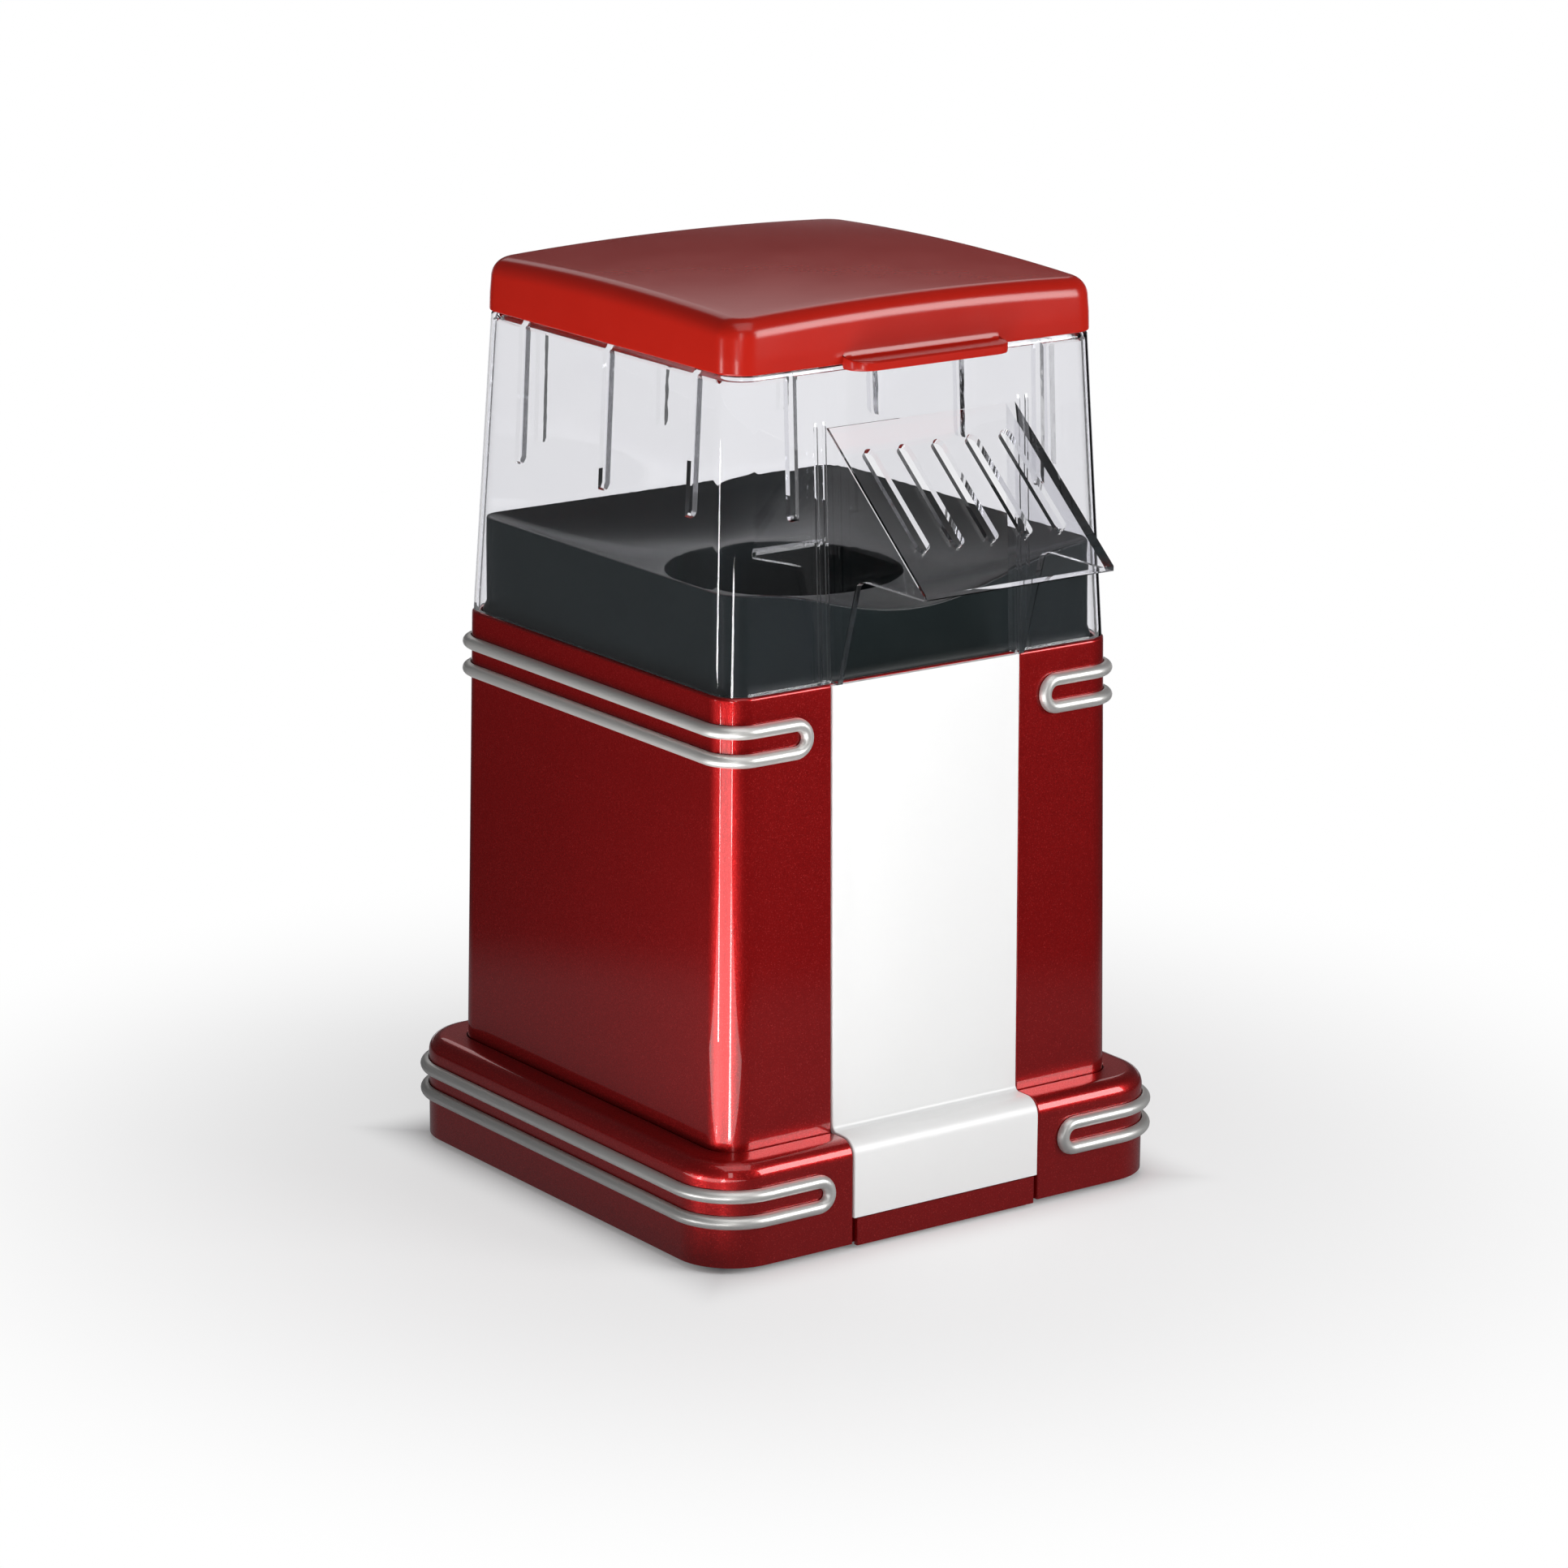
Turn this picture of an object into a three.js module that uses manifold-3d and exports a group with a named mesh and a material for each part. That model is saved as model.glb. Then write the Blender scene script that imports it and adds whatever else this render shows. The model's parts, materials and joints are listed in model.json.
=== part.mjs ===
// A hot-air popcorn maker, in millimetres, with +Z up. It stands on z = 0 and its chute looks
// towards -Y.
//
// From the floor up: rubber feet, a plinth closed by a base plate, a tapered square body with a
// front panel, a motor and fan with a heater above them, a popping chamber under its cover, a
// clear hood with the chute, and a loose lid that is also the measuring cup.
import * as THREE from 'three';
import { mergeVertices } from 'three/addons/utils/BufferGeometryUtils.js';
import Module from 'manifold-3d';

const wasm = await Module();
wasm.setup();

// ---- Fits ----------------------------------------------------------------------------------
const fit = 0.3; // between pieces that rest on or sit in each other
const liftFit = 0.4; // round a piece that lifts off by hand
const slideFit = 0.5; // between the cover and the shells round it
const bite = 0.5; // how deep a joined feature sinks into the piece that carries it
const past = 1; // how far a cutter runs past the face that it opens

// ---- Driving sizes: plinth and body --------------------------------------------------------
const plinthFloorGap = 2;
const plinthHeight = 31.5;
const plinthLedge = 11.1; // how far the plinth stands out from the body
const plinthCorner = 18;
const plinthWall = 2.5;
const plinthShoulder = 5;
const bodyHalfBottom = 72.4;
const bodyTaper = 1.7;
const bodyHeight = 135;
const bodyCorner = 9.5;
const bodyWall = 3;
const bodyRimRound = 0.8;
const bodyFlange = 2.2; // width and thickness of the flange under the plinth's top

const plinthTop = plinthFloorGap + plinthHeight;
const plinthHalf = bodyHalfBottom + plinthLedge;
const plinthCeiling = plinthTop - plinthWall;
const bodyTop = plinthTop + bodyHeight;
const bodyHalfTop = bodyHalfBottom - bodyTaper;
const bodyFlangeTop = plinthCeiling - fit;
const bodyBottom = bodyFlangeTop - bodyFlange;

// ---- Front panel and trims -----------------------------------------------------------------
const panelHalfWidth = 34;
const panelThickness = 1.5;
const panelProud = 0.3;
const panelFoot = 10;
const stripGroove = 1.4; // each side of the kick strip under the panel
const stripDrop = 0.7; // below the plinth's lower edge
const trimHeight = 4;
const trimProud = 2.4;
const trimEnd = 41.4; // distance of a hairpin's tip from the middle of the front
const bodyTrimSpacing = 8.4;
const bodyTrimDrop = 14; // below the body's top
const plinthTrimSpacing = 7.9;
const plinthTrimHeight = 20;

// ---- Base plate, feet and its screws -------------------------------------------------------
const plateThickness = 2.5;
const plateBottom = 3.5;
const plateTop = plateBottom + plateThickness;
const footRadius = 7;
const footNeck = 2.5;
const footBulb = 3.2;
const footBulbHeight = 2;
const footRound = 1;
const footInset = 21.5; // from the plinth's side
const ventWidth = 4;
const ventLength = 44;
const ventPitch = 8;
const ventCount = 9;
const postWidth = 16;
const postDepth = 5;
const postSpread = 24;
const screwClear = 0.3; // round a screw's shank
const screwHeadHeight = 1.4;
const screwCrossLength = 0.6; // shares of the head's radius
const screwCrossWidth = 0.15;
const screwCrossDepth = 0.7;
const baseScrewInset = 9.1; // from the plinth's side
const baseScrewHead = 2.6;
const baseScrewShank = 1.3;
const baseScrewTip = 14;
const bossRadius = 3.5;

// ---- Popping chamber and its cover ---------------------------------------------------------
const throatRadius = bodyHalfBottom - 36.8;
const throatWall = 2;
const throatBottom = bodyTop - 12.5;
const coverWall = 2.2;
const coverRim = 1.2;
const coverCorner = 7;
const coverRimHeight = 29; // above the body's top
const coverDipHeight = 17.5; // the rim's lowest place, under the chute
const coverHoleHeight = 16.5;
const funnelCurve = 1.6;
const gussetSize = 22;
const gussetThickness = 3;
const coverScrewInset = 13.7; // from the body's side at its top
const coverScrewHead = 3.2;
const coverScrewShank = 1.6;
const coverScrewLength = 16;
const coverBossRadius = 4;
const sealThickness = 1.2;
const chamberSheet = 1;
const chamberFlange = 7.2; // how far the chamber's flange reaches past its bore
const chamberDepth = 48.2;
const chamberSlots = 12;
const chamberSlotLength = 12;
const chamberSlotWidth = 1.8;
const chamberSlotTilt = 40;
const chamberSlotHeight = 12; // above the floor
const coneRise = 10; // how far the floor's cone stands up in the middle
const coneTopRadius = 6;
const coneFootRadius = throatRadius - 8.6;
const chamberRound = 3;

const gussetTop = throatBottom - 3.8;
const coverBottom = gussetTop + fit;
const sealTop = throatBottom - fit;
const chamberTop = sealTop - sealThickness - fit;
const chamberFloor = chamberTop - chamberDepth;
const coverScrewSpot = bodyHalfTop - coverScrewInset;

// ---- Heater, fan and motor -----------------------------------------------------------------
const ductRadius = throatRadius + 5; // inside
const ductSheet = 1;
const ductFlange = ductRadius + 3.9;
const ductFlangeThickness = 1.2;
const ductScrewCircle = ductRadius + 6.4;
const ductEar = 5;
const ductScrewShank = 1.6;
const ductScrewHead = 3;
const ductScrewLength = 14;
const ductScrewAngles = [90, 210, 330];
const thermostatRadius = 8;
const thermostatDepth = 6;
const thermostatDrop = 28; // below the duct's top
const fuseRadius = 2;
const fuseLength = 12;
const fuseAngle = 150;
const fanBottom = 50;
const fanHeight = 16;
const fanSpigot = 4;
const fanBore = ductRadius - 3.1;
const fanPlate = 3;
const fanPlateRadius = 17;
const fanClear = 1.5; // between blade tips and housing
const bladeCount = 7;
const bladeTilt = 35;
const bladeThickness = 1.2;
const spokeWidth = 5;
const hubRadius = 8;
const boardHalf = ductRadius - 8.8;
const boardThickness = 1;
const boardFoot = 2.7;
const boardFootClear = 1.1; // from the duct's wall
const coilFoot = 4; // above the boards' feet
const coilHead = 3; // below the boards' top
const heaterClear = 6; // between the boards and the chamber's floor
const coilClear = 1; // between the boards' edges and the wire
const coilWire = 1.2;
const coilTurns = 3;
const shaftRadius = 1.5;
const bushRadius = 3.5;
const canRadius = 14;
const canSheet = 1;
const canBottom = 22.5;
const canBoss = 5;
const canBossHeight = 2.3;
const capHeight = 6.2;
const capFloor = 0.9;
const bushDrop = 0.7; // how far the upper bushing hangs into the can
const bushClear = 0.1; // running clearance round the shaft
const commutatorRadius = 3.6;
const commutatorHeight = 3.7;
const brushSize = 3;
const brushReach = 8.7;
const brushHolder = 2;
const terminalRadius = 0.7;
const terminalSpread = 9;
const motorGap = 0.6; // between parts that turn and parts that don't, along the shaft
const armatureSlotDepth = 5.3;
const armatureSlotWidth = 2;
const armatureTopGap = 3.7; // under the can's end
const armatureRadius = canRadius - 4.2;
const magnetInner = canRadius - 3.4;
const magnetOuter = canRadius - 1.3;
const magnetHalfAngle = 52;
const magnetOverhang = 1; // past the armature at each end
const motorScrewSpot = 8;
const motorScrewShank = 1.2;
const motorScrewHead = 2.2;
const motorScrewLength = 4.5;
const rectifierHalf = 13;
const rectifierBottom = 11;
const rectifierThickness = 1.6;
const diodeRadius = 1.2;
const diodeLength = 6;
const diodeSpots = [-7.5, -3.5, 3.5, 7.5];

const ductTop = chamberTop - chamberSheet - fit;
const fanTop = fanBottom + fanHeight;
const spigotTop = fanTop + fanSpigot;
const ductBottom = fanTop + fit;
const ductOutside = ductRadius + ductSheet;
const thermostatHeight = ductTop - thermostatDrop;
const rectifierTop = rectifierBottom + rectifierThickness;

// ---- Hood, chute and lid -------------------------------------------------------------------
const hoodInset = 0.5; // in from the body's side
const hoodTaper = 4.3;
const hoodHeight = 91.6;
const hoodWall = 2;
const hoodCorner = 9;
const neckHeight = 7;
const neckWall = 1.8;
const ribWidth = 3;
const ribDepth = 2.2;
const ribLength = 41.6;
const ribSpread = 44.5;
const chuteHalfWidth = 34;
const chuteTopHeight = 74.2; // where its panel meets the hood, above the hood's foot
const chuteLipHeight = 34.2;
const chuteReach = 43.6; // from the foot of the hood's front to the lip
const chuteLipDepth = 1.5;
const cheekHeel = 11.8; // where the cheeks' lower edge turns down, out from the hood's foot
const cheekFoot = 2.8;
const slotCount = 5;
const slotWidth = 4;
const slotStart = 0.18;
const slotEnd = 0.72;
const slotPitch = 12.25;
const lidOverhang = 0.3;
const lidHeight = 19.3;
const lidDraft = 0.4;
const lidWall = 2;
const lidRound = 5.5;
const lidCrown = 3.5; // how far the top falls from its middle to its corners
const lidCorner = 9;
const tabReach = 8.8;
const tabHalfWidth = 28;
const tabChamfer = 2;
const tabDrop = 2.3;
const tabThickness = 4.8;

const hoodBase = bodyTop + fit;
const hoodHalfBottom = bodyHalfTop - hoodInset;
const hoodHalfTop = hoodHalfBottom - hoodTaper;
const hoodShoulder = hoodBase + hoodHeight;
const lidBase = hoodShoulder + fit;
const lidHalf = hoodHalfTop + lidOverhang;
const neckHalf = lidHalf - lidWall - liftFit;
const chuteLip = hoodHalfBottom + chuteReach;

// ---- Switch and cord inlet -----------------------------------------------------------------
const switchHeight = 75;
const bezelHalfWidth = 7.5;
const bezelHalfHeight = 10.5;
const bezelThickness = 1.8;
const switchHalfWidth = 6.5;
const switchHalfHeight = 9.5;
const switchDepth = 14;
const switchOpeningHalfWidth = 4.8;
const switchOpeningHalfHeight = 8.1;
const rockerHalfWidth = 4.5;
const rockerPivotDepth = 3.2; // behind the bezel's face
const rockerPin = 1;
const rockerRestAngle = -10;
const rockerPinClear = 0.15;
const switchBack = 1.5;
const bladeSpread = 3;
const bladeSize = [0.8, 6, 4.8];
const grommetHeight = 16;
const grommetBore = 3.6;
const grommetNeck = 5;
const grommetFlange = 7;
const grommetProud = 2.4;
const wireRadius = 0.9;
const wireSteps = 12;

const switchSeat = bodyHalf(switchHeight - bezelHalfHeight) + fit;
const switchFace = switchSeat + bezelThickness;
const switchRear = switchSeat - switchDepth;

// ---- Facets --------------------------------------------------------------------------------
const cornerSteps = 4;
const smallSides = 8;
const roundSides = 16;
const largeSides = 28;
const tubeSides = 6;
const coverSideSteps = 4;
const lidSideSteps = 4;
const lidRoundSteps = 3;

// ---- Finishes ------------------------------------------------------------------------------
const finish = (color, roughness, metalness = 0) => (
  new THREE.MeshStandardMaterial({ color, roughness, metalness })
);
const pearlRed = finish(0x8c141c, 0.25);
const glossRed = finish(0xb0241a, 0.2);
const glossWhite = finish(0xf4f4f2, 0.3);
const glossBlack = finish(0x1c2020, 0.35);
const satinSilver = finish(0xb4b2ae, 0.35, 0.9);
const clearPlastic = finish(0xdfe2ea, 0.08);
const greyPlastic = finish(0x4a4c4e, 0.6);
const rubber = finish(0x18181a, 0.9);
const silicone = finish(0xb9b4ac, 0.8);
const aluminium = finish(0xc6c8ca, 0.35, 1);
const zincSteel = finish(0xa9acb0, 0.4, 1);
const sinteredBronze = finish(0x8f6a3c, 0.6, 1);
const ferrite = finish(0x2c2b2a, 0.8);
const copper = finish(0xb4683a, 0.4, 1);
const mica = finish(0xb9ad92, 0.7);
const heaterWire = finish(0x8d8f92, 0.4, 1);
const circuitBoard = finish(0x7a5a2c, 0.6);
const bakelite = finish(0x23201e, 0.5);

// ---- Shape helpers -------------------------------------------------------------------------
const quarterTurn = Math.PI / 2;
const axisX = new THREE.Vector3(1, 0, 0);
const axisY = new THREE.Vector3(0, 1, 0);
const axisZ = new THREE.Vector3(0, 0, 1);
const radians = THREE.MathUtils.degToRad;
const mix = THREE.MathUtils.lerp;

/** Turns a closed geometry into a solid, with its faces pointing out. */
function toSolid(geometry) {
  const bare = new THREE.BufferGeometry();
  bare.setAttribute('position', geometry.attributes.position);
  bare.setIndex(geometry.index);
  const merged = mergeVertices(bare, 1e-4);
  const points = merged.attributes.position;
  const corner = [new THREE.Vector3(), new THREE.Vector3(), new THREE.Vector3()];
  const faces = [];
  let volume = 0;
  for (let start = 0; start < merged.index.count; start += 3) {
    const face = [0, 1, 2].map((step) => merged.index.getX(start + step));
    if (new Set(face).size === 3) {
      faces.push(face);
      face.forEach((index, step) => corner[step].fromBufferAttribute(points, index));
      volume += corner[0].dot(corner[1].cross(corner[2]));
    }
  }
  const triVerts = new Uint32Array((volume < 0 ? faces.map((face) => face.reverse()) : faces).flat());
  const vertProperties = new Float32Array(points.array);
  return new wasm.Manifold(new wasm.Mesh({ numProp: 3, vertProperties, triVerts }));
}

/** Turns a solid back into a geometry. */
function toGeometry(solid) {
  const mesh = solid.getMesh();
  const geometry = new THREE.BufferGeometry();
  geometry.setAttribute('position', new THREE.BufferAttribute(mesh.vertProperties, 3));
  geometry.setIndex(new THREE.BufferAttribute(mesh.triVerts, 1));
  geometry.computeVertexNormals();
  return geometry;
}

const solidOf = (shape) => (shape.isBufferGeometry ? toSolid(shape) : shape);
const join = (...shapes) => shapes.map(solidOf).reduce((whole, shape) => whole.add(shape));
const cut = (base, ...tools) => (
  tools.map(solidOf).reduce((whole, tool) => whole.subtract(tool), solidOf(base))
);
const common = (one, other) => solidOf(one).intersect(solidOf(other));

/** A box between two corners. */
function block([x0, y0, z0], [x1, y1, z1]) {
  return new THREE.BoxGeometry(x1 - x0, y1 - y0, z1 - z0)
    .translate((x0 + x1) / 2, (y0 + y1) / 2, (z0 + z1) / 2);
}

/** An upright cylinder from one height to another, at a place in plan. */
function cylinder(radius, bottom, top, [x, y] = [0, 0], sides = roundSides) {
  return new THREE.CylinderGeometry(radius, radius, top - bottom, sides)
    .rotateX(quarterTurn)
    .translate(x, y, (bottom + top) / 2);
}

/** A solid of revolution about +Z from [radius, height] points. */
function lathe(profile, sides = roundSides) {
  const points = profile.map(([radius, height]) => new THREE.Vector2(radius, height));
  return new THREE.LatheGeometry(points, sides).rotateX(quarterTurn);
}

/** A ring turned about +Z: its [radius, height] profile is closed on itself. */
function turnedRing(profile, sides = roundSides) {
  return lathe([...profile, profile[0]], sides);
}

/** A prism across the machine, from [y, z] points, between two x values. */
function prismAcross(profile, left, right) {
  const shape = new THREE.Shape(profile.map(([y, z]) => new THREE.Vector2(y, z)));
  return new THREE.ExtrudeGeometry(shape, { depth: right - left, bevelEnabled: false })
    .translate(0, 0, left)
    .applyMatrix4(new THREE.Matrix4().makeBasis(axisY, axisZ, axisX));
}

/** A round tube along a curve, closed at both ends. */
function tube(curve, radius, steps) {
  const section = Array.from({ length: tubeSides }, (_, index) => {
    const angle = (index / tubeSides) * 2 * Math.PI;
    return new THREE.Vector2(radius * Math.cos(angle), radius * Math.sin(angle));
  });
  const settings = { steps, extrudePath: curve, bevelEnabled: false };
  return new THREE.ExtrudeGeometry(new THREE.Shape(section), settings);
}

/** A rounded square, counter-clockwise, with each straight side split into sideSteps. */
function squareOutline(half, corner, sideSteps = 1) {
  const points = [];
  const straight = 2 * (half - corner);
  for (let quarter = 0; quarter < 4; quarter += 1) {
    const turn = quarter * quarterTurn;
    const middle = new THREE.Vector2(half - corner, half - corner);
    middle.rotateAround(new THREE.Vector2(), turn);
    for (let step = 0; step <= cornerSteps; step += 1) {
      const angle = turn + (step / cornerSteps) * quarterTurn;
      const spoke = new THREE.Vector2(Math.cos(angle), Math.sin(angle));
      points.push(spoke.multiplyScalar(corner).add(middle));
    }
    const turned = points[points.length - 1];
    for (let step = 1; step < sideSteps; step += 1) {
      const travel = (step / sideSteps) * straight;
      const along = new THREE.Vector2(-Math.cos(turn), -Math.sin(turn)).multiplyScalar(travel);
      points.push(along.add(turned));
    }
  }
  return points;
}

/** A circle whose points pair off with those of a square outline of the same steps. */
function circleOutline(radius, sideSteps = 1) {
  const perQuarter = cornerSteps + sideSteps;
  return Array.from({ length: 4 * perQuarter }, (_, index) => {
    const angle = Math.PI / 4 + ((index - cornerSteps / 2) / perQuarter) * quarterTurn;
    return new THREE.Vector2(radius * Math.cos(angle), radius * Math.sin(angle));
  });
}

/** An outline lifted to a height, or to a height worked out from each point's plan place. */
function ring(outline, height) {
  const heightAt = typeof height === 'function' ? height : () => height;
  return outline.map(({ x, y }) => new THREE.Vector3(x, y, heightAt(x, y)));
}

/** A skin through rings of equal count: looped back to the first ring, or closed at both ends. */
function skin(rings, looped = false) {
  const count = rings[0].length;
  const points = rings.flat();
  const faces = [];
  const links = looped ? rings.length : rings.length - 1;
  for (let link = 0; link < links; link += 1) {
    const here = link * count;
    const next = ((link + 1) % rings.length) * count;
    for (let index = 0; index < count; index += 1) {
      const beside = (index + 1) % count;
      faces.push(here + index, here + beside, next + beside);
      faces.push(here + index, next + beside, next + index);
    }
  }
  if (!looped) {
    const ends = [[0, rings[0], true], [(rings.length - 1) * count, rings[rings.length - 1], false]];
    for (const [start, end, reversed] of ends) {
      const middle = end.reduce((sum, point) => sum.add(point), new THREE.Vector3());
      points.push(middle.divideScalar(count));
      for (let index = 0; index < count; index += 1) {
        const rim = [start + index, start + ((index + 1) % count)];
        faces.push(...(reversed ? rim.reverse() : rim), points.length - 1);
      }
    }
  }
  const geometry = new THREE.BufferGeometry().setFromPoints(points);
  return geometry.setIndex(faces);
}

/** The four plan places at the same distance from both centre lines. */
function corners(spot) {
  return [[spot, spot], [-spot, spot], [-spot, -spot], [spot, -spot]];
}

/** Plan place at an angle in degrees on a circle. */
function onCircle(radius, degrees) {
  return [radius * Math.cos(radians(degrees)), radius * Math.sin(radians(degrees))];
}

/** A cross-headed screw pointing up, with the underside of its head at height 0. */
function screw(headRadius, shankRadius, length) {
  const slotHalf = headRadius * screwCrossLength;
  const slotThin = headRadius * screwCrossWidth;
  const floor = -screwHeadHeight + screwCrossDepth;
  return cut(
    join(
      cylinder(headRadius, -screwHeadHeight, 0, [0, 0], smallSides),
      cylinder(shankRadius, -bite, length, [0, 0], smallSides),
    ),
    block([-slotHalf, -slotThin, -screwHeadHeight - past], [slotHalf, slotThin, floor]),
    block([-slotThin, -slotHalf, -screwHeadHeight - past], [slotThin, slotHalf, floor]),
  );
}

// ---- The machine ---------------------------------------------------------------------------
const machine = new THREE.Group();

/** Adds a named piece to the machine, at a place and turned about +Z. */
function add(name, shape, material, place = [0, 0, 0], turn = 0) {
  const mesh = new THREE.Mesh(toGeometry(solidOf(shape)), material);
  mesh.name = name;
  mesh.position.set(...place);
  mesh.rotation.z = turn;
  machine.add(mesh);
}

/** Half width of the body's outside at a height. */
function bodyHalf(z) {
  return bodyHalfBottom - (bodyTaper * (z - plinthTop)) / bodyHeight;
}

/** The panel's side view, offset from the surface that it lies on, from body top to its foot. */
function panelLine(offset, top, foot) {
  const shoulderY = -(plinthHalf - plinthShoulder);
  const shoulderZ = plinthTop - plinthShoulder;
  const line = [
    [-bodyHalf(top) - offset, top],
    [-bodyHalf(plinthTop) - offset, plinthTop + offset],
  ];
  for (let step = 0; step <= cornerSteps; step += 1) {
    const angle = quarterTurn * (1 + step / cornerSteps);
    const radius = plinthShoulder + offset;
    line.push([shoulderY + radius * Math.cos(angle), shoulderZ + radius * Math.sin(angle)]);
  }
  line.push([-plinthHalf - offset, foot]);
  return line;
}

/** A band in front of the body and plinth, between two offsets from their surface. */
function panelBand(inner, outer, halfWidth, top, foot) {
  const profile = [...panelLine(outer, top, foot), ...panelLine(inner, top, foot).reverse()];
  return prismAcross(profile, -halfWidth, halfWidth);
}

const panelRecess = panelBand(
  panelProud - panelThickness - fit,
  trimProud,
  panelHalfWidth + fit,
  bodyTop + past,
  plinthFloorGap - past,
);

function addPlinth() {
  const floor = plinthFloorGap;
  const outer = (inset, z) => ring(squareOutline(plinthHalf - inset, plinthCorner - inset), z);
  const openingHalf = bodyHalf(plinthCeiling) + fit;
  const opening = (z) => ring(squareOutline(openingHalf, bodyCorner + fit), z);
  const rings = [outer(0, floor)];
  for (let step = 0; step <= cornerSteps; step += 1) {
    const angle = (step / cornerSteps) * quarterTurn;
    const inset = plinthShoulder * (1 - Math.cos(angle));
    rings.push(outer(inset, plinthTop - plinthShoulder * (1 - Math.sin(angle))));
  }
  rings.push(opening(plinthTop), opening(plinthCeiling));
  rings.push(outer(plinthShoulder, plinthCeiling));
  rings.push(outer(plinthWall, plinthTop - plinthShoulder), outer(plinthWall, floor));
  const spots = corners(plinthHalf - baseScrewInset);
  const bosses = spots.map((spot) => (
    cylinder(bossRadius, plateTop + fit, plinthCeiling + bite, spot, smallSides)));
  const pilots = spots.map((spot) => (
    cylinder(baseScrewShank + screwClear, plateTop, baseScrewTip + past, spot, smallSides)));
  const inlet = cylinder(grommetNeck + fit, -plinthWall - past, past)
    .rotateX(-quarterTurn)
    .translate(0, plinthHalf, grommetHeight);
  add('plinth', cut(join(skin(rings, true), ...bosses), panelRecess, inlet, ...pilots), pearlRed);
}

function addBodyShell() {
  const outer = (z, offset = 0) => (
    ring(squareOutline(bodyHalf(z) + offset, bodyCorner + offset), z));
  const shell = skin([
    outer(bodyBottom, bodyFlange),
    outer(bodyFlangeTop, bodyFlange),
    outer(bodyFlangeTop),
    outer(bodyTop - bodyRimRound),
    outer(bodyTop, -bodyRimRound),
    outer(bodyTop, -bodyWall),
    outer(bodyBottom, -bodyWall),
  ], true);
  const low = gussetTop - gussetThickness;
  const inside = bodyHalf(gussetTop) - bodyWall - gussetSize;
  const outside = bodyHalf(gussetTop) + past;
  const gussets = cut(
    skin([outer(low, -bodyWall / 2), outer(gussetTop, -bodyWall / 2)]),
    block([-inside, -outside, low - past], [inside, outside, gussetTop + past]),
    block([-outside, -inside, low - past], [outside, inside, gussetTop + past]),
  );
  const holes = corners(coverScrewSpot).map((spot) => (
    cylinder(coverScrewShank + screwClear, low - past, gussetTop + past, spot, smallSides)));
  const back = bodyHalf(switchHeight);
  const switchHole = block(
    [-switchHalfWidth - fit, back - bodyWall - past, switchHeight - switchHalfHeight - fit],
    [switchHalfWidth + fit, back + past, switchHeight + switchHalfHeight + fit],
  );
  add('body_shell', cut(join(shell, gussets), panelRecess, switchHole, ...holes), pearlRed);
}

function addFrontPanel() {
  const inner = panelProud - panelThickness;
  const panel = panelBand(inner, panelProud, panelHalfWidth, bodyTop - fit, panelFoot);
  add('front_panel', panel, glossWhite);

  const stripHalf = panelHalfWidth + fit - stripGroove;
  add('kick_strip', block(
    [-stripHalf, -plinthHalf - panelProud, plinthFloorGap - stripDrop],
    [stripHalf, -plinthHalf - inner, panelFoot - fit],
  ), pearlRed);
}

/** Place and outward direction on the left wall of a rounded square, s along the wall. */
function wallPlace(s, half, corner) {
  const straight = half - corner;
  const arc = corner * quarterTurn;
  const beyond = Math.abs(s) - straight;
  const way = Math.sign(s) || 1;
  const angle = THREE.MathUtils.clamp(beyond / corner, 0, quarterTurn);
  const onward = Math.max(0, beyond - arc);
  const normal = new THREE.Vector2(-Math.cos(angle), -way * Math.sin(angle));
  const place = new THREE.Vector2(-straight, -way * Math.min(Math.abs(s), straight));
  place.addScaledVector(normal, corner);
  place.x += onward;
  return { place, normal };
}

/** A hairpin rail round one side of a rounded square: two runs joined by half circles. */
function trimRail(halfAt, corner, centreHeight, spacing) {
  const half = halfAt(centreHeight);
  const straight = half - corner;
  const bend = spacing / 2;
  const hairpin = 2 * straight + corner * quarterTurn - (trimEnd + bend + trimHeight / 2);
  const run = [];
  for (const way of [-1, 1]) {
    for (let step = 0; step <= cornerSteps; step += 1) {
      const travelled = way < 0 ? cornerSteps - step : step;
      run.push(way * (straight + (travelled / cornerSteps) * corner * quarterTurn));
    }
  }
  const route = [];
  for (const way of [1, -1]) {
    run.forEach((s) => route.push({ s: way * s, z: way * bend, lean: quarterTurn * way }));
    for (let step = 0; step <= 2 * cornerSteps - 2; step += 1) {
      const lean = quarterTurn * way - (step / (2 * cornerSteps - 2)) * Math.PI;
      route.push({ s: way * hairpin + bend * Math.cos(lean), z: bend * Math.sin(lean), lean });
    }
  }
  return skin(route.map(({ s, z, lean }) => {
    const section = [];
    for (let step = 0; step <= tubeSides; step += 1) {
      const turn = (step / tubeSides) * Math.PI;
      const across = (trimHeight / 2) * Math.cos(turn);
      const height = centreHeight + z + across * Math.sin(lean);
      const wall = wallPlace(s + across * Math.cos(lean), halfAt(height), corner);
      const spot = wall.place.addScaledVector(wall.normal, fit + trimProud * Math.sin(turn));
      section.push(new THREE.Vector3(spot.x, spot.y, height));
    }
    return section;
  }), true);
}

function addTrims() {
  const rails = {
    body: trimRail(bodyHalf, bodyCorner, bodyTop - bodyTrimDrop, bodyTrimSpacing),
    plinth: trimRail(() => plinthHalf, plinthCorner, plinthTrimHeight, plinthTrimSpacing),
  };
  for (const [place, rail] of Object.entries(rails)) {
    add(`trim_${place}_left`, rail, satinSilver);
    add(`trim_${place}_right`, rail, satinSilver, [0, 0, 0], Math.PI);
  }
}

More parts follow.
